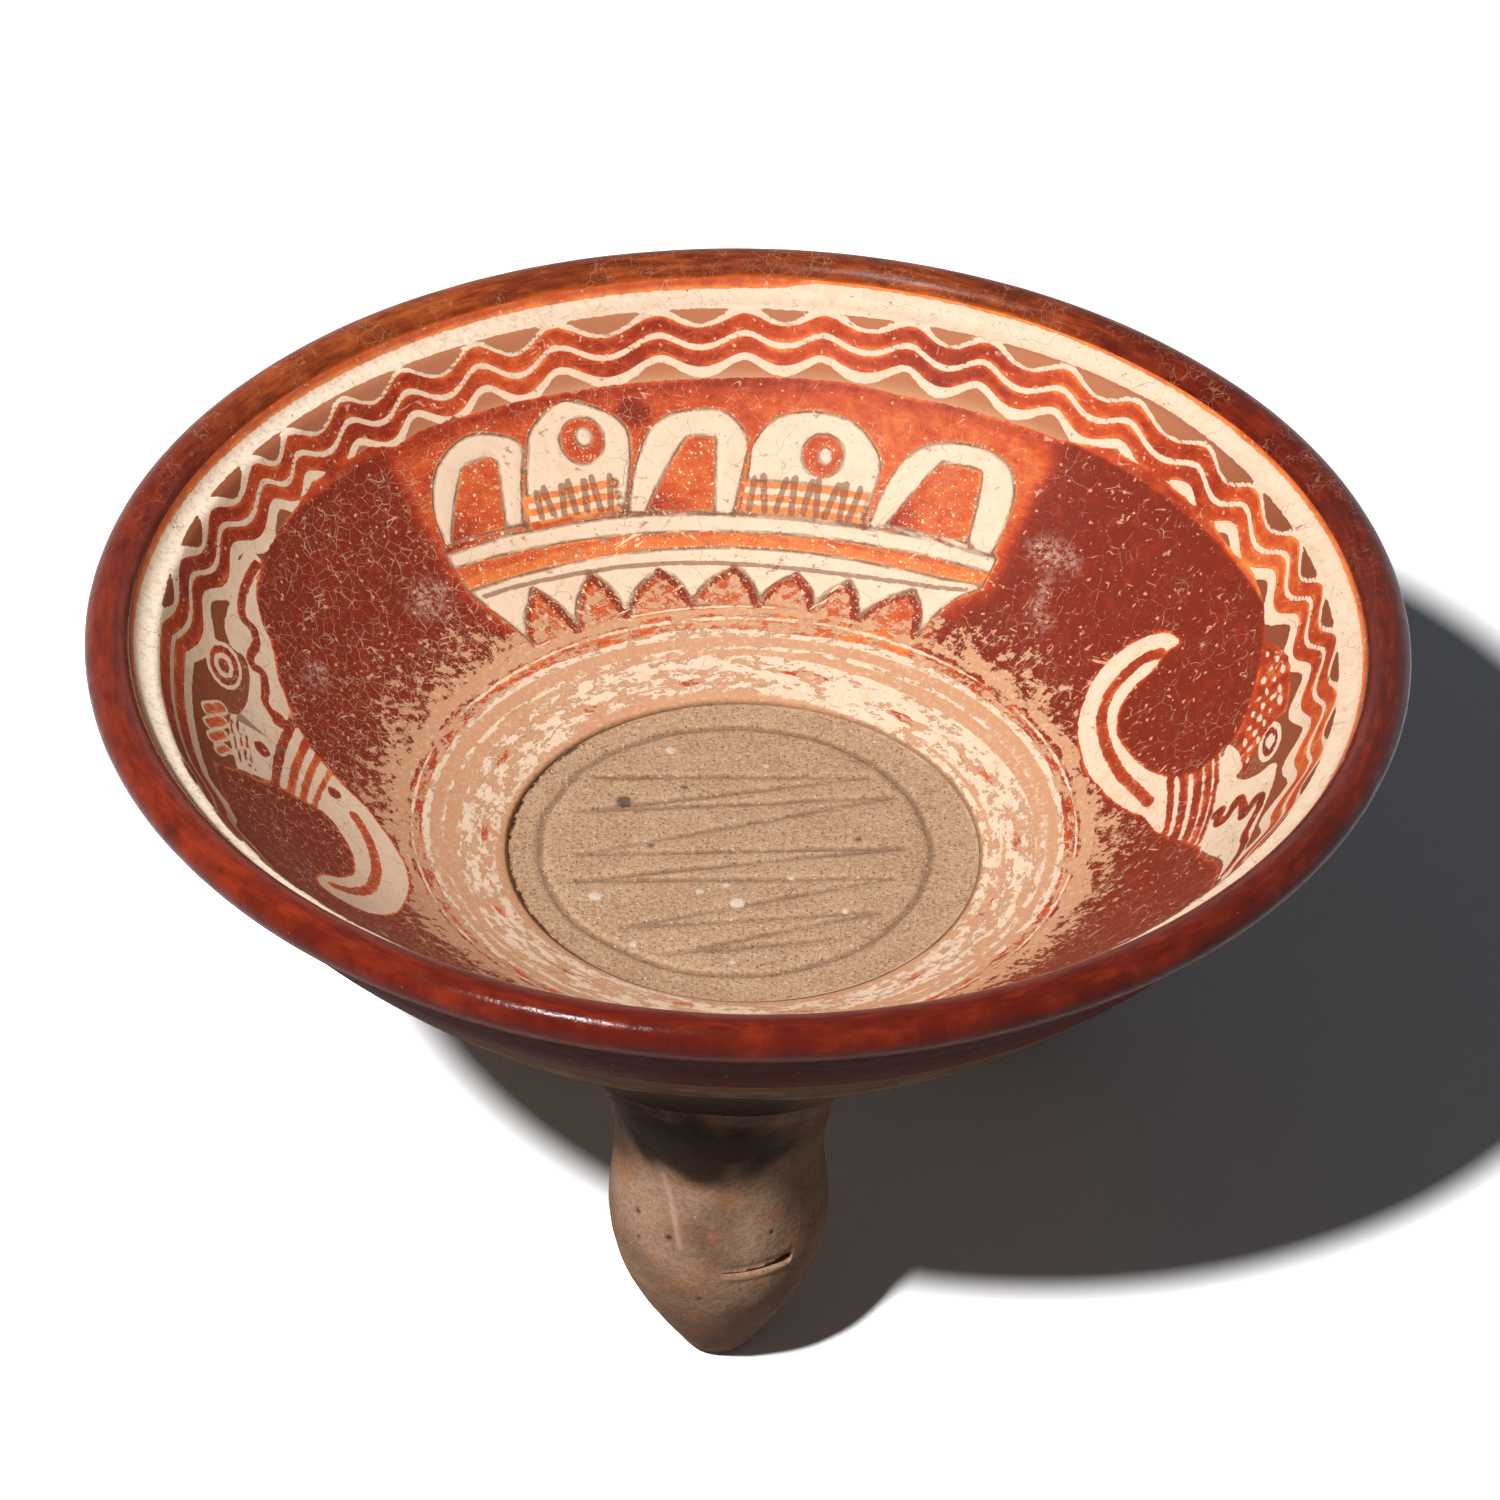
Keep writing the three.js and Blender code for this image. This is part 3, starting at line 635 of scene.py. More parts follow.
def paint_waves(canvas):
    """The wavy stripes below the lip band: cream and red"""
    hidden = np.linspace(CRESTS[-1], CRESTS[0] - 360, HIDDEN_CRESTS + 1)[1:-1]
    crests = np.array(sorted([*CRESTS, *hidden]))
    count = np.interp(canvas.turn, crests, np.arange(len(crests)))
    beyond = canvas.turn - crests[-1]
    count = np.where(beyond > 0, len(crests) - 1 + beyond / (crests[0] + 360 - crests[-1]), count)
    angle = np.radians(canvas.turn)
    swell = WAVE_HEIGHT * (1 + 0.16 * np.sin(3 * angle + 1) + 0.12 * np.sin(7 * angle))
    wave = swell * np.cos(math.tau * count) * 0.94 + 0.12 * np.cos(2 * math.tau * count)
    drift = 0.35 * np.sin(2 * angle + 0.6) + 0.2 * np.sin(5 * angle + 2)
    height = canvas.up - wave - drift
    edges = [[middle - thick / 2, middle + thick / 2] for middle, thick in CREAM_WAVES]
    hump, tent = abs(np.cos(math.pi * count)), abs(np.sin(math.pi * count))
    west = blend(abs(canvas.turn), 138, 160)
    aside = blend(abs(wrapped(canvas.turn - 95)), 40, 58)
    cloud = 0.75 + 0.45 * np.sin(4 * angle + 2) + 1.3 * west
    edges[0][1] = edges[0][0] + 0.85 + 0.35 * west + cloud * hump**1.5
    edges[2][0] = edges[2][0] + 0.2 - 0.85 * tent - 1.1 * aside
    cream = either(*(within(height - low, high - height) for low, high in edges))
    red = either(*(thick / 2 - abs(height - middle) for middle, thick in RED_WAVES))
    return 0.85 * cream, 0.85 * red


def paint_wall(mesh, section):
    """Works out where each slip lies on the painted wall and keeps it at the mesh's points"""
    points = places(mesh)
    up = reading(mesh, "up")
    x, y, _ = points.T
    degree = np.maximum(np.hypot(x, y), section.floor) * math.radians(1)
    canvas = Canvas(np.degrees(np.arctan2(y, x)), up, degree)
    top, lip_band, slip_edge = (canvas.above(line) for line in (FIELD_TOP, LIP_BAND, SLIP_EDGE))
    panels = [paint_panel(canvas, turn, top) for turn in PANEL_COPIES]
    heads = [paint_right_head(canvas), paint_left_head(canvas)]
    wave_cream, wave_red = paint_waves(canvas)

    field = within(-top, up - FIELD_UP, *(-p["cream"] for p in panels), *(0.3 - h["ground"] for h in heads))
    angle = np.radians(canvas.turn)
    right_side = blend(np.cos(angle - math.radians(20)), 0.5, 0.9)

    def ringed(half_width, level, swing=0, waves=0, phase=0):
        return half_width - abs(up - level - swing * np.sin(waves * angle + phase))

    rings = either(*(ringed(*ring) for ring in RINGS), ringed(0.8 * right_side, LOWEST_RING_UP))
    cream = either(lip_band, within(wave_cream, up - WAVES_UP), rings,
                   *(painted["cream"] for painted in (*panels, *heads)))
    blotches = either(*(ringed(*ring) - deep * abs(np.sin(breaks * angle)) for ring, deep, breaks in BLOTCHES))
    red = either(field, slip_edge, within(wave_red, up - WAVES_UP), blotches,
                 *(painted["red"] for painted in (*panels, *heads)))

    waves_tone = 0.6 + 0.14 * np.sin(11 * angle + 1) + 0.14 * blend(abs(canvas.turn), 120, 165)
    tone = repainted(
        1.0, (up, WAVES_UP + 2, waves_tone - 0.12 * blend(canvas.turn, 60, 20)),
        (slip_edge, -0.5, 0.1 + 0.3 * blend(slip_edge, 0, 1.5)), (-up, -FIELD_UP, 0.66))
    wear = np.interp(up, *zip(*WEAR_LEVELS))
    wear -= 0.12 * blend(abs(wrapped(canvas.turn - 45)), 50, 20) * (up < 84)
    wear = repainted(wear, (blotches, 0, 0.56))
    drawn, line = np.zeros(len(up)), np.full(len(up), Canvas.FAR)
    for panel in panels:
        near = blend(panel["here"], -5, 1.5) * (top < 1)
        tone = tone * (1 - near) + panel["tone"] * near
        wear = repainted(wear, (within(panel["here"], up - TEETH_FOOT_UP), 0, panel["wear"]))
        drawn = np.maximum(drawn, panel["drawn"])
        line = either(line, panel["line"])
    for head in heads:
        tone = repainted(tone, (head["ground"], -0.3, head["tone"]))
        wear = repainted(wear, (head["ground"], -0.3, 0.08))
        line = either(line, head.get("line", line))
    line = either(line, canvas.oval(148, 78.4, 1.0, 1.2))
    scuffs = either(canvas.oval(141, 85.5, 3.6, 3), canvas.oval(46, 93, 4, 2.5), canvas.oval(166, 91, 2, 2),
                    canvas.stroke([(45, 88), (43.5, 82.8), (41, 80.4)], 1.2))
    for name, values in (("cream", cream), ("red", red), ("tone", tone), ("wear", wear), ("drawn", drawn),
                         ("line", line), ("scuff", blend(scuffs, -2.5, 2))):
        note(mesh, name, np.clip(values, -6, 6))
    edge = np.minimum(abs(cream), abs(red))
    return np.where(drawn > 0.5, np.exp(-((edge / 0.5) ** 2)), 0)


# How far round the bowl brushed noise runs, as a radius in millimetres
BRUSH_REACH = 22


class Finish:
    """A material's nodes, added one named step at a time. Grains are in millimetres."""

    def __init__(self, name):
        self.material = bpy.data.materials.new(name)
        self.material.use_nodes = True
        self.tree = self.material.node_tree
        self.shader = self.tree.nodes["Principled BSDF"]
        self.place = self.add("ShaderNodeTexCoord").outputs["Object"]

    def add(self, kind, inputs=(), **settings):
        """A new node with these settings, its inputs given by name or number"""
        node = self.tree.nodes.new(kind)
        for name, value in settings.items():
            setattr(node, name, value)
        for socket, value in dict(inputs).items():
            self.feed(node.inputs[socket], value)
        return node

    def feed(self, socket, value):
        if isinstance(value, bpy.types.NodeSocket):
            self.tree.links.new(value, socket)
        else:
            socket.default_value = value

    def sum(self, operation, *values):
        return self.add("ShaderNodeMath", enumerate(values), operation=operation).outputs[0]

    def times(self, a, b):
        return self.sum("MULTIPLY", a, b)

    def scaled(self, a, b, more):
        """a times b, and more"""
        return self.sum("MULTIPLY_ADD", a, b, more)

    def most(self, first, *others):
        for other in others:
            first = self.sum("MAXIMUM", first, other)
        return first

    def vector(self, operation, inputs):
        return self.add("ShaderNodeVectorMath", inputs, operation=operation).outputs[0]

    def read(self, name):
        return self.add("ShaderNodeAttribute", attribute_name=name).outputs["Fac"]

    def along(self, axis):
        """The place along X, Y or Z, in millimetres"""
        return self.times(self.add("ShaderNodeSeparateXYZ", {0: self.place}).outputs[axis], 1 / MM)

    def stretch(self, lengths, turn):
        """The place, so that what reads it is this many times longer along turned axes"""
        inputs = {"Vector": self.place, "Rotation": turn, "Scale": lengths}
        return self.add("ShaderNodeMapping", inputs, vector_type="TEXTURE").outputs[0]

    def bent(self, grain, amount):
        """The place, pushed about by noise, so that what reads it wanders"""
        push = self.add("ShaderNodeTexNoise", {"Vector": self.place, "Scale": 1 / (grain * MM)})
        return self.vector("MULTIPLY_ADD", {0: push.outputs["Color"], 1: (amount * MM,) * 3, 2: self.place})

    def brushed(self, rise, level):
        """A place that runs long round the bowl and short across it, so that noise looks brushed"""
        flat = self.vector("MULTIPLY", {0: self.place, 1: (1, 1, 0)})
        out = self.vector("SCALE", {0: self.vector("NORMALIZE", {0: flat}), "Scale": BRUSH_REACH * MM})
        height = self.add("ShaderNodeCombineXYZ", {2: self.times(self.read(level), rise * MM)})
        return self.vector("ADD", {0: out, 1: height.outputs[0]})

    def noise(self, grain, detail=3.0, rough=0.55, place=None):
        inputs = {"Scale": 1 / (grain * MM), "Detail": detail, "Roughness": rough}
        return self.add("ShaderNodeTexNoise", {"Vector": place or self.place, **inputs}).outputs["Fac"]

    def sway(self, *grain):
        """Noise about nought"""
        return self.sum("SUBTRACT", self.noise(*grain), 0.5)

    def ruffled(self, value, amount, *grain):
        return self.scaled(self.sway(*grain), amount, value)

    def cells(self, grain, place=None, feature="F1"):
        inputs = {"Vector": place or self.place, "Scale": 1 / (grain * MM)}
        return self.add("ShaderNodeTexVoronoi", inputs, feature=feature)

    def step(self, value, low, high):
        """0 below low, 1 above high, smooth between; low over high runs the other way"""
        inputs = {"Value": value, "From Min": min(low, high), "From Max": max(low, high)}
        if low > high:
            inputs.update({"To Min": 1, "To Max": 0})
        return self.add("ShaderNodeMapRange", inputs, interpolation_type="SMOOTHSTEP").outputs["Result"]

    def patch(self, low, high, *grain):
        """1 on the patches where noise is high"""
        return self.step(self.noise(*grain), low, high)

    def cracks(self, grain, width, place=None):
        """1 on the thin lines between cells"""
        edge = self.cells(grain, place, "DISTANCE_TO_EDGE").outputs["Distance"]
        return self.step(edge, width / grain, width / grain / 3)

    def specks(self, grain, size, share, place=None):
        """1 on small round grains that fill only some of the cells"""
        cell = self.cells(grain, place)
        chance = self.add("ShaderNodeSeparateColor", {0: cell.outputs["Color"]}).outputs[0]
        round_ = self.step(cell.outputs["Distance"], size / grain, size / grain * 0.6)
        return self.times(round_, self.step(chance, share, share * 0.9))

    def hairs(self, grain, width, place):
        """1 on long thin wandering lines"""
        return self.step(self.sum("ABSOLUTE", self.sway(grain, 1, 0.5, place)), width, width / 3)

    def mix(self, factor, under, over):
        inputs = {0: factor}
        for at, colour in ((6, under), (7, over)):
            inputs[at] = colour if isinstance(colour, bpy.types.NodeSocket) else (*colour, 1)
        return self.add("ShaderNodeMix", inputs, data_type="RGBA").outputs[2]

    def layers(self, colour, *layers):
        """Colours laid one over another: each one's mask, its strength and how it shows on a screen"""
        for mask, strength, *shown in layers:
            colour = self.mix(self.times(mask, strength), colour, display(*shown))
        return colour

    def ramp(self, value, *stops):
        node = self.add("ShaderNodeValToRGB", {0: value})
        elements = node.color_ramp.elements
        while len(elements) < len(stops):
            elements.new(0.5)
        for element, (at, colour) in zip(elements, stops):
            element.position, element.color = at, (*colour, 1)
        return node.outputs["Color"]

    def finish(self, colour, roughness, height, gloss=0.25):
        """Feeds the shader. Height is in millimetres."""
        bump = self.add("ShaderNodeBump", {"Distance": MM, "Height": height}).outputs[0]
        for name, value in (("Base Color", colour), ("Specular IOR Level", gloss), ("Roughness", roughness),
                            ("Normal", bump)):
            self.feed(self.shader.inputs[name], value)
        return self.material


def painted_finish(colours):
    f = Finish("painted_slips")
    cream, red, tone, wear, drawn, line, scuff, up = (
        f.read(name) for name in ("cream", "red", "tone", "wear", "drawn", "line", "scuff", "up"))
    across, away = f.along(0), f.along(1)
    west = f.step(across, 40, -60)
    wobble = f.sway(1.4, 4)
    brushed = f.brushed(1.0, "up")
    scrapes = (f.noise(1.1, 6, 0.7, f.stretch((1, 5, 2.4), (0, 0.3, a))) for a in (-1.0, -2.2))
    patches = f.scaled(f.sum("ADD", *scrapes), 0.25, f.times(f.noise(2.6, 9, 0.76), 0.5))
    patches = f.step(patches, 0.35, 0.65)
    streaks = f.patch(0.32, 0.68, 1.9, 9, 0.74, brushed)
    loss = f.add("ShaderNodeMix", {0: f.times(f.step(up, 72, 64), 0.7), 2: patches, 3: streaks})
    kept = f.step(f.sum("SUBTRACT", loss.outputs[0], wear), -0.03, 0.03)

    clay = f.mix(f.noise(7, 5), colours.buff, colours.buff_sand)
    deep = f.mix(f.step(away, 30, 85), colours.buff_shade, colours.buff_deep)
    banded = f.scaled(f.step(away, 62, 40), 18, up)
    clay = f.mix(f.step(banded, 112, 116), clay, deep)
    crumbs = f.times(f.patch(0.53, 0.62, 1.0, 7, 0.82), f.step(up, 112, 100))
    clay = f.layers(clay, (f.noise(0.5, 2), 0.35, 150, 96, 66), (crumbs, 0.6, 236, 202, 168))

    cream_on = f.times(f.step(f.scaled(wobble, 0.7, cream), -0.1, 0.12), kept)
    cream_colour = f.mix(f.patch(0.45, 0.75, 5, 5, 0.65), colours.cream, colours.cream_dull)
    # The band under the lip is painted paler on its left side: painted light, laid over the shade that the lip
    # casts there.
    painted_light_band = f.times(f.step(up, 125, 128), f.step(across, -20, -95))
    cream_colour = f.mix(f.times(painted_light_band, 0.8), cream_colour, colours.painted_light_cream)

    red_edge = f.scaled(wobble, 0.9, red)
    red_on = f.times(f.step(red_edge, -0.1, 0.14), kept)
    thin = f.times(f.times(f.step(red_edge, 1.0, 0.1), f.patch(0.36, 0.72, 6, 4)), 0.5)
    depth = f.ruffled(f.sum("SUBTRACT", tone, thin), 0.8, 3.2, 5, 0.7)
    depth = f.ruffled(depth, 0.4, 1.0, 4, 0.6, brushed)
    slip = f.ramp(depth, (0.0, colours.orange), (0.42, colours.red_orange), (0.72, colours.brick),
                  (1.0, colours.dark_red))
    surface = f.mix(red_on, f.mix(cream_on, clay, cream_colour), slip)

    near_edge = f.sum("MINIMUM", f.sum("ABSOLUTE", f.sum("ADD", cream, 0.05)), f.sum("ABSOLUTE", red))
    pen = f.times(f.step(f.scaled(wobble, 0.6, near_edge), 0.56, 0.3), drawn)
    surface = f.mix(f.times(f.times(pen, f.patch(0.34, 0.56, 4, 4)), 0.7), surface, colours.outline)
    scored = f.times(f.step(f.scaled(wobble, 0.4, near_edge), 0.24, 0.1), drawn)
    scored = f.times(scored, f.patch(0.42, 0.55, 6, 3))
    line_on = f.step(f.scaled(wobble, 0.5, line), -0.05, 0.15)
    surface = f.layers(surface, (scored, 0.62, 84, 52, 38), (line_on, 0.72, 120, 70, 48))

    # Crazing in the dark fields, flecks and scratches everywhere, and pinholes in the panels
    unpanelled = f.step(drawn, 0.6, 0.4)
    fine = f.times(f.cracks(1.3, 0.035, f.bent(2, 1.0)), 0.4)
    crazing = f.most(f.cracks(2.7, 0.08, f.bent(3, 0.8)), fine)
    crazing = f.times(crazing, f.step(f.scaled(west, 0.36, f.noise(12, 3)), 0.46, 0.8))
    long_lines = f.times(f.cracks(6, 0.07, f.bent(5, 4)), f.patch(0.46, 0.56, 9, 2))
    crazing = f.times(f.most(crazing, long_lines), unpanelled)
    crazing = f.times(crazing, f.patch(0.34, 0.62, 2.6, 5, 0.7))
    crazing = f.times(crazing, f.scaled(f.step(up, 116, 108), 0.65, 0.35))
    scratch = f.most(*(f.noise(1.2, 4, 0.62, f.stretch((1, 9, 2), (0.2, 0.3, a))) for a in (-0.9, -2.3)))
    scratch = f.step(f.scaled(f.step(up, 96, 70), 0.05, scratch), 0.682, 0.712)
    hairs = f.most(*(f.hairs(3.4, 0.012, f.stretch((1, 5, 2), (0, 0.2, a))) for a in (-0.7, -2.0)))
    hairs = f.times(hairs, f.times(f.patch(0.57, 0.64, 4, 4), unpanelled))
    fine_lines = f.most(crazing, hairs)
    flecks = f.most(f.specks(2.0, 0.42, 0.42, f.bent(0.9, 1.3)), f.patch(0.655, 0.69, 0.9, 4, 0.66))
    stars = f.patch(0.632, 0.67, 1.1, 6, 0.8)
    pinholes = f.times(f.most(f.specks(0.8, 0.22, 0.5), f.patch(0.6, 0.65, 0.55, 4, 0.7)), drawn)
    marks = f.most(f.times(fine_lines, 0.66), scratch, f.times(stars, 0.9), flecks, f.times(pinholes, 0.85))
    marks = f.times(marks, f.times(red_on, 0.85))
    pale = f.mix(fine_lines, display(222, 158, 118), display(226, 184, 158))
    surface = f.mix(marks, surface, f.mix(drawn, pale, display(246, 208, 168)))
    grey = f.times(f.specks(1.4, 0.24, 0.45), cream_on)
    hair = f.times(f.cracks(7, 0.09, f.bent(6, 6)), f.patch(0.46, 0.56, 13, 2))
    dirty = f.step(up, 124, 128)
    stain = f.step(f.scaled(f.times(dirty, west), 0.05, f.noise(1.6, 8, 0.8)), 0.52, 0.7)
    stain = f.times(stain, f.scaled(dirty, 0.35, 0.45))
    surface = f.layers(surface, (f.times(f.most(grey, hair, stain), cream_on), 0.55, 150, 122, 98))
    dust = f.times(f.times(scuff, 0.6), f.patch(0.44, 0.6, 1.2, 6, 0.75))
    surface = f.mix(dust, surface, display(206, 172, 152))

    foot = f.step(f.scaled(f.noise(1.6, 6, 0.75), 2.4, up), 47.4, 46.4)
    bare = f.mix(f.patch(0.4, 0.62, 0.9, 6, 0.8), colours.floor_shade, display(150, 116, 88))
    surface = f.mix(foot, surface, bare)
    painted = f.most(cream_on, red_on)
    rough = f.scaled(f.noise(2, 4), 0.14, f.sum("SUBTRACT", f.scaled(painted, -0.3, 0.86), 0.07))
    height = f.scaled(painted, 0.05, f.times(f.noise(0.6, 3), 0.05))
    height = f.scaled(f.most(scored, marks), -0.06, height)
    return f.finish(surface, rough, f.scaled(f.noise(3.5, 4), 0.12, height), gloss=0.14)


def outer_finish(colours, lip):
    """Outside of the bowl: slip under the lip, a purple-brown wash, a tan line and bare clay below.
    Heights are millimetres below the middle of the lip coil."""
    f = Finish("outer_clay")
    height = f.sum("ADD", f.sum("SUBTRACT", f.along(2), lip), f.times(f.sway(14, 3), 2.6))
    colour = f.mix(f.patch(0.35, 0.65, 16, 5, 0.6), colours.leg_dark, colours.leg_clay)
    colour = f.layers(colour, (f.patch(0.5, 0.8, 5, 5, 0.6), 0.5, 160, 118, 90))
    tan = f.mix(f.noise(3, 3), display(150, 112, 86), display(120, 86, 66))
    wash = f.mix(f.patch(0.4, 0.7, 3, 5, 0.65), colours.outer_slip, display(92, 32, 22))
    grey = f.mix(f.noise(2, 4), display(104, 66, 60), display(76, 42, 36))
    slip = f.mix(f.noise(4, 4), colours.lip, colours.brick)
    # The grey band just under the slip is a painted sheen: the pale floor mirrored on the slope under the lip.
    for low, high, coat in (
            (-28.5, -27.5, tan), (-24.2, -23.2, wash), (-15.6, -14.8, grey), (-12.0, -11.0, slip)):
        colour = f.mix(f.step(height, low, high), colour, coat)
    specks = f.most(f.specks(2.4, 0.4, 0.25), f.patch(0.7, 0.74, 1.0, 3))
    colour = f.layers(colour, (specks, 0.4, 170, 130, 104))
    rough = f.scaled(f.step(height, -26, -22), -0.26, 0.84)
    relief = f.scaled(f.noise(2.5, 5), 0.3, f.times(f.noise(0.5, 2), 0.08))
    return f.finish(colour, rough, relief, gloss=0.02)


def lip_finish(colours, lip):
    """Glossy slip, brushed along the lip; browner on the far side, orange along the inner edge,
    and left matt underneath. The height of the lip is in millimetres."""
    f = Finish("glossy_lip_slip")
    across, away = f.along(0), f.along(1)
    far = f.times(f.step(away, 30, 88), f.step(across, 92, 30))
    brushed = f.brushed(5.0, "inner")
    streak = f.noise(1.3, 6, 0.62, brushed)
    # Towards the left side the slip is painted lighter, a painted sheen on the side that faces the lamp.
    tone = f.scaled(f.step(across, -20, -112), 0.16, f.ruffled(streak, 0.5, 9, 5, 0.6))
    slip = f.ramp(tone, (0.18, colours.lip_dark), (0.5, colours.lip), (0.82, colours.lip_thin))
    brown = f.ramp(
        tone, (0.28, display(86, 34, 16)), (0.52, display(130, 57, 28)), (0.76, display(172, 86, 38)))
    colour = f.mix(f.times(far, 0.9), slip, brown)
    inner = f.ruffled(f.read("inner"), 0.34, 1.6, 6, 0.7, brushed)
    fringe = f.step(f.scaled(far, 0.1, inner), 0.86, 1.02)
    colour = f.mix(f.times(fringe, 0.75), colour, colours.lip_orange)
    lines = f.most(f.cracks(2.6, 0.08, f.bent(3, 1.2)), f.hairs(2.5, 0.014, f.bent(4, 3)))
    crazing = f.times(lines, f.times(f.step(away, -10, 60), f.patch(0.46, 0.62, 6, 5)))
    chips = f.most(f.specks(4, 0.24, 0.2, f.bent(1.5, 1.2)), f.patch(0.72, 0.75, 1.0, 5, 0.65))
    colour = f.layers(colour, (crazing, 0.34, 206, 150, 110), (chips, 0.6, 196, 108, 58))
    rough = f.scaled(f.noise(3, 4), 0.12, f.scaled(far, 0.12, 0.13))
    rough = f.scaled(chips, 0.3, rough)
    rough = f.scaled(f.step(f.along(2), lip - 0.8, lip - 2.4), 0.5, rough)
    height = f.scaled(f.most(crazing, chips), -0.05, f.times(f.noise(4, 4), 0.16))
    return f.finish(colour, rough, f.scaled(streak, 0.08, height), gloss=0.1)


def floor_finish(colours):
    f = Finish("bare_sandy_clay")
    across = f.along(0)
    colour = f.mix(f.patch(0.34, 0.66, 9, 6, 0.66), colours.floor_clay, colours.floor_shade)
    colour = f.mix(f.patch(0.36, 0.64, 0.9, 7, 0.82), colour, display(224, 188, 154))
    furrow = f.ruffled(f.read("furrow"), 1.3, 0.8, 6, 0.75)
    colour = f.layers(
        colour, (f.patch(0.48, 0.66, 0.7, 5, 0.8), 0.66, 134, 100, 76),
        (f.step(furrow, 0.22, 0.85), 0.5, 118, 82, 62), (f.specks(0.9, 0.26, 0.4), 0.8, 96, 70, 56),
        (f.specks(1.1, 0.28, 0.4, f.bent(3, 2)), 0.8, 238, 214, 184))
    ragged = f.ruffled(f.read("edge"), 0.3, 1.3, 6, 0.75)
    smear = f.times(f.step(ragged, 0.84, 0.96), f.patch(0.42, 0.56, 7, 3))
    colour = f.mix(f.times(smear, f.step(across, -10, 30)), colour, colours.cream_dull)
    # Along the floor's left edge a dark broken line: partly small cracks, partly painted shade of the step
    # between floor and wall.
    crack_and_shade = f.times(f.step(ragged, 0.9, 0.96), f.step(across, -22, -38))
    colour = f.layers(
        colour, (crack_and_shade, f.patch(0.4, 0.52, 2.5, 4), 74, 52, 42), (f.read("grit"), 0.9, 236, 220, 200))
    colour = f.mix(f.read("char"), colour, display(84, 62, 54))
    height = f.scaled(f.noise(0.9, 7, 0.8), 0.6, f.times(f.noise(0.35, 2), 0.2))
    return f.finish(colour, 0.95, height, gloss=0.1)


def leg_finish(colours):
    f = Finish("smudged_and_shaded_leg_clay")
    colour = f.mix(f.patch(0.36, 0.66, 20, 4, 0.6), colours.leg_clay, colours.leg_dark)
    # Darker towards the tip: painted shade on the lower leg, whose taper faces down away from the lamp.
    low = f.step(f.scaled(f.noise(6, 5), 12, f.along(2)), 44, 24)
    # The smudge layer is partly a fire smudge, partly painted shade at the neck under the bowl's rim.
    colour = f.layers(
        f.mix(f.times(low, 0.26), colour, colours.leg_dark),
        (f.patch(0.46, 0.7, 5, 6, 0.68), 0.45, 184, 150, 122),
        (f.patch(0.49, 0.66, 5.5, 6, 0.7, f.bent(9, 6)), 0.6, 176, 112, 76),
        (f.patch(0.44, 0.66, 0.9, 6, 0.76), 0.5, 104, 76, 60),
        (f.specks(1.9, 0.26, 0.28), 0.6, 206, 180, 154),
        (f.specks(2.6, 0.24, 0.3, f.bent(4, 3)), 0.7, 64, 48, 40),
        (f.read("scratch"), 0.5, 206, 172, 146), (f.read("smudge_and_shade"), 0.94, 40, 27, 20))
    colour = f.mix(f.read("pit"), colour, display(34, 25, 20))
    height = f.scaled(f.noise(2.4, 5, 0.6), 0.28, f.times(f.noise(0.5, 3), 0.08))
    return f.finish(colour, f.scaled(f.noise(3, 4), 0.24, 0.66), height, gloss=0.08)


def lute_finish(colours):
    f = Finish("smeared_lute_clay")
    colour = f.mix(f.patch(0.35, 0.7, 9, 5, 0.62), colours.leg_dark, display(132, 102, 82))
    # The smudge layer darkens the lute as a fire smudge and as painted shade under the bowl.
    colour = f.layers(
        colour, (f.patch(0.5, 0.8, 1.4, 4), 0.4, 96, 72, 58), (f.read("smudge_and_shade"), 0.85, 44, 30, 23))
    height = f.scaled(f.noise(2.2, 5, 0.6), 0.4, f.times(f.noise(0.5, 2), 0.08))
    return f.finish(colour, 0.86, height, gloss=0.06)


def pellet_finish(colours):
    f = Finish("fired_pellet_clay")
    colour = f.mix(f.noise(2, 5), colours.buff, colours.leg_clay)
    colour = f.mix(f.specks(1.2, 0.2, 0.3), colour, display(70, 50, 40))
    return f.finish(colour, 0.9, f.times(f.noise(0.8, 4), 0.3))


def start(context):
    """The sizes, the colours and the bowl's outlines, as they are set now"""
    sizes = context.scene.vessel_sizes
    return sizes, context.scene.vessel_colours, Section(sizes)


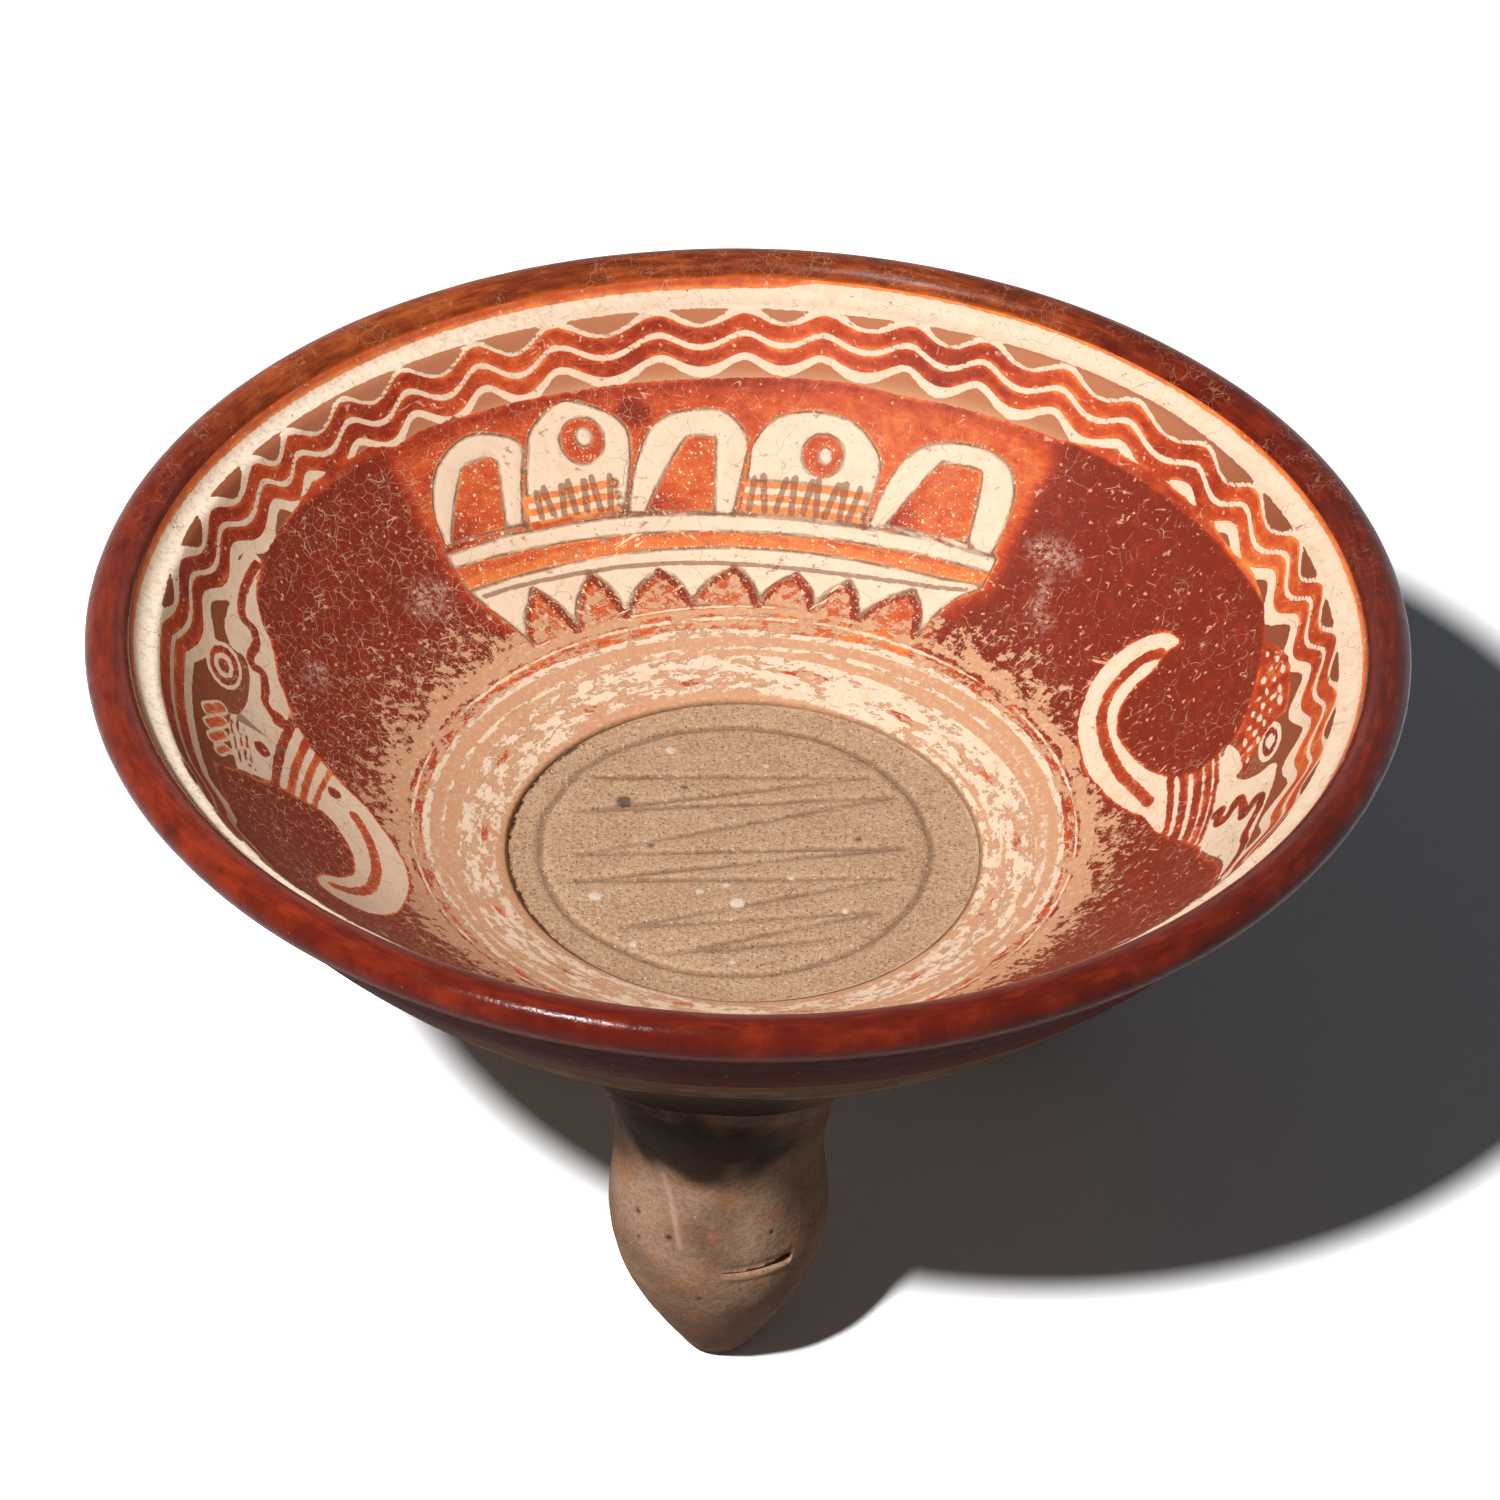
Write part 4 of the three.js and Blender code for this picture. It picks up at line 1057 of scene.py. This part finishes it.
class VESSEL_OT_bowl_wall(bpy.types.Operator):
    """Builds the painted wall, fine inside for its slips and plain outside"""

    bl_idname = "vessel.bowl_wall"
    bl_label = "Painted wall"

    def execute(self, context):
        sizes, colours, section = start(context)
        tuck = [(section.throat + 1.8, section.throat_level + 0.4), (section.throat + 3.4, section.lip - 1.8),
                section.seat(176, 0.12), section.seat(162, -0.3)]
        inside = np.vstack([section.inner, flowing([section.inner[-1], *tuck], 4)[1:]])
        inside[0] += (FOOT_REACH, -sizes.floor_step / MM + FOOT_OVER)
        ups = WALL_FOOT_UP + arc_lengths(inside)
        rows = np.concatenate([np.arange(WALL_FOOT_UP, WORN_TOP_UP, WORN_ROW),
                               np.arange(WORN_TOP_UP, ups[-1], PAINTED_ROW), ups[-1:]])
        bm = spun(at_arcs(inside, rows - WALL_FOOT_UP), sizes.wall_columns, marks=rows)
        outside = np.vstack([section.floor_under[-1:], section.outer[4::6], section.seat(262, -0.1)])
        outer = spun(outside, sizes.wall_columns // OUTER_COLUMN_SHARE, marks=np.full(len(outside), -1.0))
        plain = mesh_of(outer, "outside")
        count = len(bm.faces)
        bm.from_mesh(plain)
        bpy.data.meshes.remove(plain)
        bm.faces.ensure_lookup_table()
        for face in bm.faces[count:]:
            face.material_index = 1
        middle = section.throat * MM
        all_edges = {e for e in bm.edges if e.is_boundary}
        for near_rim in (False, True):
            loop = [e for e in all_edges if (e.verts[0].co.xy.length > middle) == near_rim]
            bmesh.ops.bridge_loops(bm, edges=loop)
        bmesh.ops.recalc_face_normals(bm, faces=bm.faces)
        finishes = painted_finish(colours), outer_finish(colours, section.lip)
        piece = to_piece("painted_wall", bm, finishes, "painted_wall", "bowl_wall")
        scored = paint_wall(piece.data, section)
        points, up = places(piece.data), reading(piece.data, "up")
        painted = (up > WALL_FOOT_UP + 1) & (up < SMOOTH_UP)
        heave = 0.28 * lumps(points, 34) + 0.1 * lumps(points, 9, 5.0)
        points += directions(piece.data) * (painted * heave - 0.16 * scored)[:, None]
        place(piece.data, points)
        return {"FINISHED"}


# The side of the lip coil, as a turn about its middle, that faces down into the bowl
INNER_TURN = 200
LIP_POINTS, LIP_COLUMNS = 30, 640


class VESSEL_OT_rim_coil(bpy.types.Operator):
    """Builds the glossy rolled lip, a little uneven as a hand-rolled coil is"""

    bl_idname = "vessel.rim_coil"
    bl_label = "Rim coil"

    def execute(self, context):
        sizes, colours, section = start(context)
        around = np.linspace(0, math.tau, LIP_POINTS, endpoint=False)
        circle = np.stack([section.ring + section.coil * np.cos(around),
                           section.lip + section.coil * np.sin(around)], axis=1)
        facing = np.cos(around - math.radians(INNER_TURN))
        bm = spun(circle, LIP_COLUMNS, closed=True, marks=facing, mark="inner")
        piece = to_piece("glossy_rim_coil", bm, lip_finish(colours, section.lip), "polished_lip", "rim_coil")
        points = places(piece.data)
        thin = 0.06 + 0.2 * (1 + lumps(points, 26, 3.0)) / 2 + 0.08 * (1 + lumps(points, 7, 8.0)) / 2
        thin *= 1 - blend(reading(piece.data, "inner"), 0.3, 0.9)
        chips = np.clip(lumps(points, 3.2, 11.0) - 0.56, 0, 1)
        points -= directions(piece.data) * (thin + chips)[:, None]
        place(piece.data, points)
        return {"FINISHED"}


# Scored zigzag, shares of the ring's radius to the right and away from its middle
ZIGZAG_SHARES = ((-0.74, 0.56), (0.68, 0.6), (-0.81, 0.27), (0.81, 0.44), (-0.79, -0.08), (0.86, 0.03),
                 (-0.8, -0.29), (0.8, -0.22), (-0.55, -0.65), (0.74, -0.49), (-0.33, -0.85), (0.56, -0.7))
RING_OFFSET_SHARES = (-0.046, 0.04)
# Grits and a char spot in the floor clay: right, away and radius in millimetres
GRITS = ((-14.5, 30.3, 0.9), (-27.5, -14, 1.2), (-1, -15, 1.3), (-8, -12, 0.7), (-20, -27.5, 0.7),
         (-3.2, -10, 0.6), (9, -7.2, 0.5), (19, -16.6, 0.5), (4, 26, 0.5), (-1.7, -32, 0.6))
CHAR_SPOTS = ((-23, 14.5, 1.5), (-11.5, 19, 0.6), (-17.5, 1.3, 0.6), (21.5, 4.4, 0.6))
FLOOR_ROWS, DISH_ROWS, FLOOR_COLUMNS = 74, 12, 480


def from_path(x, y, path):
    """Distance from points on the floor to a path of points"""
    best = np.full(len(x), np.inf)
    for (ax, ay), (bx, by) in zip(path, path[1:]):
        dx, dy = bx - ax, by - ay
        t = np.clip(((x - ax) * dx + (y - ay) * dy) / (dx * dx + dy * dy), 0, 1)
        best = np.minimum(best, np.hypot(x - ax - t * dx, y - ay - t * dy))
    return best


class VESSEL_OT_grater_floor(bpy.types.Operator):
    """Builds the bare floor with its ring and zigzag scored in by hand"""

    bl_idname = "vessel.grater_floor"
    bl_label = "Grating floor"

    def execute(self, context):
        sizes, colours, section = start(context)
        flat = sizes.flat_diameter / MM / 2
        top = [(r, section.level) for r in np.linspace(0, flat, FLOOR_ROWS)] + [
            (flat + (section.floor - flat) * t, section.level + sizes.floor_dish / MM * t**1.5)
            for t in np.linspace(0, 1, DISH_ROWS + 1)[1:]]
        side = [np.array(top[-1]) * (1 - t) + section.floor_under[-1] * t for t in (0.02, 0.5, 1)]
        bm = spun(np.array([*top, *side, *section.floor_under[2::-1]]), FLOOR_COLUMNS)
        piece = to_piece("scored_floor", bm, floor_finish(colours), "bare_floor_clay", "grater_floor")
        points = places(piece.data)
        x, y, z = points.T
        ring = sizes.ring_diameter / MM / 2
        cx, cy = (share * ring for share in RING_OFFSET_SHARES)
        path = [(cx + a * ring, cy + b * ring) for a, b in ZIGZAG_SHARES]
        wander = 0.45 * lumps(points, 9, 2.0)
        from_ring = abs(np.hypot(x - cx, y - cy) - ring + wander)
        from_zigzag = from_path(x + wander, y + 0.6 * wander, path)
        half = sizes.furrow_width / MM / 2
        faint = 0.75 + 0.35 * lumps(points, 12, 6.0)
        furrow = np.maximum(np.exp(-((from_ring / half) ** 2)), np.exp(-((from_zigzag / half) ** 2)) * faint)
        on_top = z > section.level - 0.3
        furrow = np.clip(furrow, 0, 1) * on_top
        note(piece.data, "furrow", furrow)
        note(piece.data, "edge", blend(np.hypot(x, y) / section.floor, 0.9, 1.0))
        for name, spots, low, high, share in (
                ("grit", GRITS, -0.25, 0.15, 1), ("char", CHAR_SPOTS, -0.5, 0.4, 0.8)):
            spotted = either(*(blend(r - np.hypot(x - a, y - b), low, high) for a, b, r in spots))
            note(piece.data, name, spotted * on_top * share)
        inner = on_top & (np.hypot(x, y) < section.floor - 0.4)
        z -= sizes.furrow_depth / MM * furrow
        z += inner * (0.1 * lumps(points, 5, 1.0) + 0.07 * lumps(points, 1.6, 4.0) - 0.05)
        place(piece.data, points)
        return {"FINISHED"}


class Leg:
    """Outlines of a leg about its own axis, in millimetres of radius and height"""

    def __init__(self, sizes, section):
        self.spread = section.throat - sizes.leg_inset / MM
        self.section = section
        length_ = section.under(self.spread)
        bulb, neck, head, tip = (getattr(sizes, f"{part}_diameter") / MM / 2
                                 for part in ("bulb", "neck", "head", "tip"))
        self.bulb_radius, self.bulb = bulb, BULB_SHARE * length_
        narrow = np.array([neck, NECK_SHARE * length_])
        top = np.array([head, section.under(self.spread + head) + HEAD_REACH])
        self.outer = flowing([
            (tip, 0), *((a * bulb, b * self.bulb) for a, b in TIP_SHARES), (bulb, self.bulb), narrow,
            *(narrow + np.array(shares) * (top - narrow) for shares in HEAD_SHARES), top], 24)
        hollow = beside(self.outer, -sizes.leg_wall / MM)
        hollow = hollow[(hollow[:, 0] > tip) & (hollow[:, 1] > sizes.tip_solid / MM)]
        self.hollow = np.vstack([[(0, sizes.tip_solid / MM)], hollow])

    def radius(self, height):
        return np.interp(height, self.outer[:, 1], self.outer[:, 0])

    def reach_bowl(self, outline, turn):
        """How far along an outline it meets the bowl's underside, for each turn about the leg"""
        r, z = outline.T
        arcs = arc_lengths(outline)
        x = self.spread + np.outer(np.cos(turn), r)
        away = np.hypot(x, np.outer(np.sin(turn), r))
        over = z - (self.section.under(away) - TRIM_GAP)
        first = np.argmax(over > 0, axis=1)
        rows = np.arange(len(turn))
        low, high = over[rows, first - 1], over[rows, first]
        return arcs[first - 1] + (arcs[first] - arcs[first - 1]) * low / (low - high)


# Pores in the legs: turn about the leg in degrees, height and radius in millimetres
PORES = ((-45, 42.9, 0.5), (-43, 37.2, 0.35), (-23.6, 40.6, 0.55), (-1, 47.8, 0.1), (33, 42.1, 0.2),
         (-6, 27, 0.1), (160, 33, 0.6), (118, 41, 0.5), (205, 29, 0.5))
# A pale scratch down each leg, in turn and height
LEG_SCRATCH = ((-27.4, 55), (-22, 48), (-18, 42), (-16.6, 39.5))
# A fire smudge at each leg's neck, made darker as painted shade under the bowl's rim: half its turn, its
# height and half its tallness
SMUDGE_SHADE_TURN, SMUDGE_SHADE_HEIGHT, SMUDGE_SHADE_TALL = 72, 65, 12
SLIT_TURN = 26
# The raised and the sunk edge of the slit: height under the leg's bulb and spread
SLIT_LIPS = ((1.0, 0.6), (-0.8, 0.9))
SLIT_OPEN_SHARES = ((-1, 0), (-0.6, 0.12), (0, 0.2), (0.42, 0.46), (0.78, 1), (0.96, 0.75), (1, 0))
TRIM_GAP = 0.02
LEG_COLUMNS, LEG_ROWS, HOLLOW_ROWS = 240, 132, 34


def turned(x, y, way):
    """Points turned about the Z axis, by radians"""
    return x * np.cos(way) - y * np.sin(way), x * np.sin(way) + y * np.cos(way)


def cut_slit(piece, sizes, leg, direction):
    """Cuts the slit through the leg's wall with a lens of clay-tool shape"""
    bm = bmesh.new()
    half, width = sizes.slit_length / MM / 2, sizes.slit_width / MM / 2
    upper = [(a * half, b * width) for a, b in SLIT_OPEN_SHARES]
    lens = upper + [(a, -b) for a, b in reversed(upper[1:-1])]
    start = leg.bulb_radius - sizes.leg_wall / MM - 3
    face = bm.faces.new([bm.verts.new((start * MM, a * MM, (leg.bulb + b) * MM)) for a, b in lens])
    made = bmesh.ops.extrude_face_region(bm, geom=[face])["geom"]
    moved = [v for v in made if isinstance(v, bmesh.types.BMVert)]
    bmesh.ops.translate(bm, verts=moved, vec=((sizes.leg_wall / MM + 8) * MM, 0, 0))
    bmesh.ops.recalc_face_normals(bm, faces=bm.faces)
    turn, slit_turn = (Matrix.Rotation(math.radians(way), 4, "Z") for way in (direction, SLIT_TURN))
    spread = Matrix.Translation((leg.spread * MM, 0, 0))
    bmesh.ops.transform(bm, matrix=turn @ spread @ slit_turn, verts=bm.verts)
    mesh = mesh_of(bm, "slit")
    cutter = in_scene("slit", mesh)
    cut = piece.modifiers.new("slit", "BOOLEAN")
    cut.operation, cut.solver, cut.object = "DIFFERENCE", "EXACT", cutter
    graph = bpy.context.evaluated_depsgraph_get()
    whole = piece.data
    piece.data = bpy.data.meshes.new_from_object(piece.evaluated_get(graph), depsgraph=graph)
    piece.modifiers.clear()
    bpy.data.objects.remove(cutter)
    bpy.data.meshes.remove(mesh)
    bpy.data.meshes.remove(whole)
    piece.data.name = piece.name


class VESSEL_OT_legs(bpy.types.Operator):
    """Builds the three hollow legs, each with its slit and its head trimmed to the bowl"""

    bl_idname = "vessel.legs"
    bl_label = "Legs"

    def execute(self, context):
        sizes, colours, section = start(context)
        leg = Leg(sizes, section)
        finish = leg_finish(colours)
        for order, (side, direction) in enumerate(LEG_TURNS.items()):
            self.build(side, direction, order, sizes, leg, finish)
        return {"FINISHED"}

    def build(self, side, direction, order, sizes, leg, finish):
        shares = np.linspace(0, 1, LEG_ROWS), np.linspace(0, 1, HOLLOW_ROWS)
        outside, inside = (at_arcs(line, share * arc_lengths(line)[-1])
                           for line, share in zip((leg.outer, leg.hollow), shares))
        marks = np.concatenate([[0], shares[0], 2 + shares[1][::-1]])
        bm = spun(np.vstack([[(0, 0)], outside, inside[::-1]]), LEG_COLUMNS, marks=marks, mark="row")
        piece = to_piece(f"slit_leg_{side}", bm, finish, "leg_clay", f"leg_{side}")
        points, row = places(piece.data), reading(piece.data, "row")
        turn = np.arctan2(points[:, 1], points[:, 0])
        on_axis = np.hypot(points[:, 0], points[:, 1]) < 1e-3
        for outline, picked, share in ((leg.outer, row < 1.5, row), (leg.hollow, row > 1.5, row - 2)):
            picked = picked & ~on_axis
            trimmed = leg.reach_bowl(outline, turn[picked])
            spots = at_arcs(outline, share[picked] * trimmed)
            across, away = turned(spots[:, 0], 0, turn[picked])
            points[picked] = np.stack([across, away, spots[:, 1]], axis=1)
        degrees = np.degrees(turn)
        outer = row < 1.5
        pit = np.zeros(len(row))
        reach = np.maximum(np.hypot(points[:, 0], points[:, 1]), 1)
        for at, height, size in PORES:
            aside = wrapped(degrees - at - 7 * order) * np.radians(reach)
            pit = np.maximum(pit, outer * blend(size - np.hypot(aside, points[:, 2] - height), -0.45, 0.3))
        note(piece.data, "pit", pit)
        path = [(math.radians(a) * leg.radius(z), z) for a, z in LEG_SCRATCH]
        from_scratch = from_path(np.radians(degrees) * reach, points[:, 2], path)
        scratch = outer * blend(0.55 - from_scratch, -0.35, 0.35)
        note(piece.data, "scratch", scratch)
        # A fire smudge on the neck, deepened as painted shade under the bowl's rim
        smudge_and_shade = np.hypot((degrees + 14) / SMUDGE_SHADE_TURN, (points[:, 2] - SMUDGE_SHADE_HEIGHT) / SMUDGE_SHADE_TALL)
        note(piece.data, "smudge_and_shade", outer * blend(1 - smudge_and_shade + 0.22 * lumps(points, 5, 4.0), 0, 0.5))
        along = wrapped(degrees - SLIT_TURN) * np.radians(reach)
        half = sizes.slit_length / MM / 2
        by_slit = outer * blend(half + 1.5 - abs(along), 0, 3)
        below = points[:, 2] - leg.bulb
        burr, drag = (0.4 * np.exp(-(((below + away) / spread) ** 2)) for away, spread in SLIT_LIPS)
        held = blend(points[:, 2], 0, 4) * (row < 0.93)
        shifted = points + np.array([31.0 * order, 0, 0])
        bumps = 0.3 * lumps(shifted, 15) - 0.16 + 0.1 * lumps(shifted, 4.5, 3.0)
        uneven = outer * held * (bumps + 0.2 * scratch)
        outward = np.stack([np.cos(turn), np.sin(turn), np.zeros(len(turn))], axis=1)
        points += outward * (by_slit * (burr - drag) + uneven - 0.5 * pit)[:, None]
        points[:, 0], points[:, 1] = turned(points[:, 0] + leg.spread, points[:, 1], math.radians(direction))
        place(piece.data, points)
        cut_slit(piece, sizes, leg, direction)
        piece.data.shade_smooth()


LUTE_COLUMNS, LUTE_FACES = 160, 10
# How far out a lute's ring of points is spun before it is laid in its corner
STUB_RADIUS = 20
# How deep the luting clay reaches into leg and bowl, so that no gap shows
LUTE_BITE = 0.12


class VESSEL_OT_lutes(bpy.types.Operator):
    """Builds the clay smeared into the corner between each leg's head and the bowl"""

    bl_idname = "vessel.lutes"
    bl_label = "Luting clay"

    def execute(self, context):
        sizes, colours, section = start(context)
        leg = Leg(sizes, section)
        finish = lute_finish(colours)
        quarter = np.linspace(0, np.pi / 2, LUTE_FACES + 1)
        face = np.stack([1 - np.sin(quarter), 1 - np.cos(quarter)], axis=1)
        ring = np.vstack([[(0, 0)], face])
        for order, (side, direction) in enumerate(LEG_TURNS.items()):
            stub = np.stack([STUB_RADIUS + ring[:, 1], ring[:, 0]], axis=1)
            bm = spun(stub, LUTE_COLUMNS, closed=True, marks=np.arange(len(ring)), mark="face")
            piece = to_piece(f"luting_clay_{side}", bm, finish, "lute_clay", f"lute_{side}")
            points, at = places(piece.data), reading(piece.data, "face").round().astype(int)
            turn = np.arctan2(points[:, 1], points[:, 0])
            corner = at_arcs(leg.outer, leg.reach_bowl(leg.outer, turn))
            # The same smudge and painted shade reach up over the lute
            off_smudge_and_shade = abs(np.degrees(turn) + 14) / SMUDGE_SHADE_TURN + 0.3 * lumps(points, 5, 4.0)
            note(piece.data, "smudge_and_shade", blend(off_smudge_and_shade, 1, 0.5))
            circle = np.stack([np.cos(turn), np.sin(turn), 0 * turn], axis=1) * STUB_RADIUS
            uneven = 1 + 0.22 * lumps(circle, 9, order * 5.0)
            low = corner[:, 1] - sizes.lute_drop / MM * uneven
            heel = corner - (LUTE_BITE, 0)
            on_leg = np.stack([leg.radius(low) - LUTE_BITE, low], axis=1)
            out = corner[:, 0] + sizes.lute_width / MM * uneven
            away = np.hypot(leg.spread + out * np.cos(turn), out * np.sin(turn))
            on_bowl = np.stack([out, section.under(away)], axis=1)
            down, along = ring[at].T
            spot = heel + (on_leg - heel) * down[:, None] + (on_bowl - heel) * along[:, None]
            across, aside = turned(spot[:, 0], 0, turn)
            x, y = turned(leg.spread + across, aside, math.radians(direction))
            place(piece.data, np.stack([x, y, spot[:, 1]], axis=1))
        return {"FINISHED"}


class VESSEL_OT_pellets(bpy.types.Operator):
    """Builds the loose clay pellets that rattle in the legs"""

    bl_idname = "vessel.pellets"
    bl_label = "Rattle pellets"

    def execute(self, context):
        finish = pellet_finish(context.scene.vessel_colours)
        radius = context.scene.vessel_sizes.pellet_diameter / 2
        for side in SIDES:
            for number in (1, 2, 3):
                node = f"pellet_{side}_{number}"
                low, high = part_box(node)
                bm = bmesh.new()
                bmesh.ops.create_icosphere(bm, subdivisions=4, radius=radius * 0.97)
                piece = to_piece(f"clay_{node}", bm, finish, "pellet_clay", node, body=node)
                points = places(piece.data)
                middle = np.array((low + high) / 2) / MM
                dents = 0.12 * lumps(points + middle, 2.4) - 0.12
                place(piece.data, points * (1 + dents / (radius / MM))[:, None] + middle)
        return {"FINISHED"}


# The camera looks from in front and above, its right side turned a little down
CAMERA_PLACE = (0.0, -0.7701, 0.6932)
CAMERA_PITCH, CAMERA_YAW, CAMERA_ROLL = math.radians(38.103), math.radians(0.057), math.radians(1.25)
CAMERA_LENS = 126.98
LAMP_PLACE, LAMP_AIM = (-0.473, -0.711, 1.160), (0.0, 0.0, 0.086)
FLOOR_RADIUS = 0.55
# The floor's share of light sent back, and how bright the views show it, so that it comes out white
FLOOR_SHADE, SHOWN_FLOOR = 0.2, 1.9
# How much of that the mirrored floor shows, so that it is white there and no brighter
MIRRORED_SHARE = 0.44


class VESSEL_OT_stage(bpy.types.Operator):
    """Makes the pale floor, the lamp, the light from all round and the camera"""

    bl_idname = "vessel.stage"
    bl_label = "Stage"

    def execute(self, context):
        scene = context.scene
        scene.view_settings.view_transform = "Standard"
        self.make_floor()
        self.make_light(scene, scene.vessel_studio)
        self.make_camera(scene)
        return {"FINISHED"}

    def shown_rays(self, nodes, links, mirrored=1.0):
        """1 for the rays that show the background straight, and this much mirrored or through glass"""
        path = nodes.new("ShaderNodeLightPath")
        shown = path.outputs["Is Camera Ray"]
        for ray in ("Is Glossy Ray", "Is Transmission Ray"):
            share, either_ray = nodes.new("ShaderNodeMath"), nodes.new("ShaderNodeMath")
            share.operation, either_ray.operation = "MULTIPLY", "MAXIMUM"
            share.inputs[1].default_value = mirrored
            links.new(path.outputs[ray], share.inputs[0])
            links.new(shown, either_ray.inputs[0])
            links.new(share.outputs[0], either_ray.inputs[1])
            shown = either_ray.outputs[0]
        return shown

    def make_floor(self):
        bm = bmesh.new()
        bmesh.ops.create_circle(bm, cap_ends=True, segments=128, radius=FLOOR_RADIUS)
        floor = in_scene("studio_floor", mesh_of(bm, "studio_floor"))
        material = bpy.data.materials.new("pale_floor")
        material.use_nodes = True
        nodes, links = material.node_tree.nodes, material.node_tree.links
        nodes.remove(nodes["Principled BSDF"])
        shown = self.shown_rays(nodes, links, MIRRORED_SHARE)
        shade = nodes.new("ShaderNodeMapRange")
        shade.inputs["To Min"].default_value, shade.inputs["To Max"].default_value = FLOOR_SHADE, SHOWN_FLOOR
        links.new(shown, shade.inputs["Value"])
        matt = nodes.new("ShaderNodeBsdfDiffuse")
        links.new(shade.outputs["Result"], matt.inputs["Color"])
        links.new(matt.outputs[0], nodes["Material Output"].inputs["Surface"])
        floor.data.materials.append(material)

    def make_light(self, scene, studio):
        lamp = bpy.data.lights.new("soft_lamp", "AREA")
        lamp.shape = "DISK"
        lamp.size = studio.lamp_size
        lamp.energy = studio.lamp_power
        holder = in_scene("soft_lamp", lamp)
        holder.location = LAMP_PLACE
        holder.rotation_euler = (Vector(LAMP_PLACE) - Vector(LAMP_AIM)).to_track_quat("Z", "Y").to_euler()
        world = bpy.data.worlds.new("studio")
        scene.world = world
        world.use_nodes = True
        nodes, links = world.node_tree.nodes, world.node_tree.links
        soft = nodes["Background"]
        soft.inputs["Color"].default_value = (*studio.sky_colour, 1)
        soft.inputs["Strength"].default_value = studio.sky
        seen = nodes.new("ShaderNodeBackground")
        seen.inputs["Color"].default_value = (1, 1, 1, 1)
        both = nodes.new("ShaderNodeMixShader")
        links.new(self.shown_rays(nodes, links), both.inputs[0])
        links.new(soft.outputs[0], both.inputs[1])
        links.new(seen.outputs[0], both.inputs[2])
        links.new(both.outputs[0], nodes["World Output"].inputs[0])

    def make_camera(self, scene):
        camera = bpy.data.cameras.new("photo_view")
        camera.lens = CAMERA_LENS
        camera.clip_end = 50
        down, yaw = CAMERA_PITCH, CAMERA_YAW
        ahead = Vector((math.sin(yaw) * math.cos(down), math.cos(yaw) * math.cos(down), -math.sin(down)))
        level = Vector((math.cos(yaw), -math.sin(yaw), 0))
        below = ahead.cross(level)
        right = level * math.cos(CAMERA_ROLL) - below * math.sin(CAMERA_ROLL)
        turn = Matrix((right, -ahead.cross(right), -ahead)).transposed()
        scene.camera = in_scene("photo_view", camera)
        scene.camera.matrix_world = Matrix.Translation(CAMERA_PLACE) @ turn.to_4x4()


class VESSEL_PT_panel(bpy.types.Panel):
    """Lists the steps and the sizes of the bowl"""

    bl_idname = "VESSEL_PT_panel"
    bl_label = "Tripod Bowl"
    bl_space_type = "VIEW_3D"
    bl_region_type = "UI"
    bl_category = "Tripod Bowl"

    def draw(self, context):
        layout = self.layout
        for step in STEPS:
            layout.operator(step.bl_idname)
        for name in GROUPS:
            group = getattr(context.scene, name)
            box = layout.box()
            for key in group.bl_rna.properties.keys():
                if key not in {"rna_type", "name"}:
                    box.prop(group, key)


STEPS = (VESSEL_OT_bowl_wall, VESSEL_OT_rim_coil, VESSEL_OT_grater_floor, VESSEL_OT_legs, VESSEL_OT_lutes,
         VESSEL_OT_pellets, VESSEL_OT_stage)
GROUPS = {"vessel_sizes": VesselSizes, "vessel_colours": VesselColours, "vessel_studio": StudioSettings}


def register():
    for item in (*GROUPS.values(), *STEPS, VESSEL_PT_panel):
        bpy.utils.register_class(item)
    for name, group in GROUPS.items():
        setattr(bpy.types.Scene, name, PointerProperty(type=group))


def unregister():
    for name in GROUPS:
        delattr(bpy.types.Scene, name)
    for item in reversed((*GROUPS.values(), *STEPS, VESSEL_PT_panel)):
        bpy.utils.unregister_class(item)


def main():
    register()
    bpy.ops.vessel.bowl_wall()
    bpy.ops.vessel.rim_coil()
    bpy.ops.vessel.grater_floor()
    bpy.ops.vessel.legs()
    bpy.ops.vessel.lutes()
    bpy.ops.vessel.pellets()
    bpy.ops.vessel.stage()


if __name__ == "__main__":
    main()
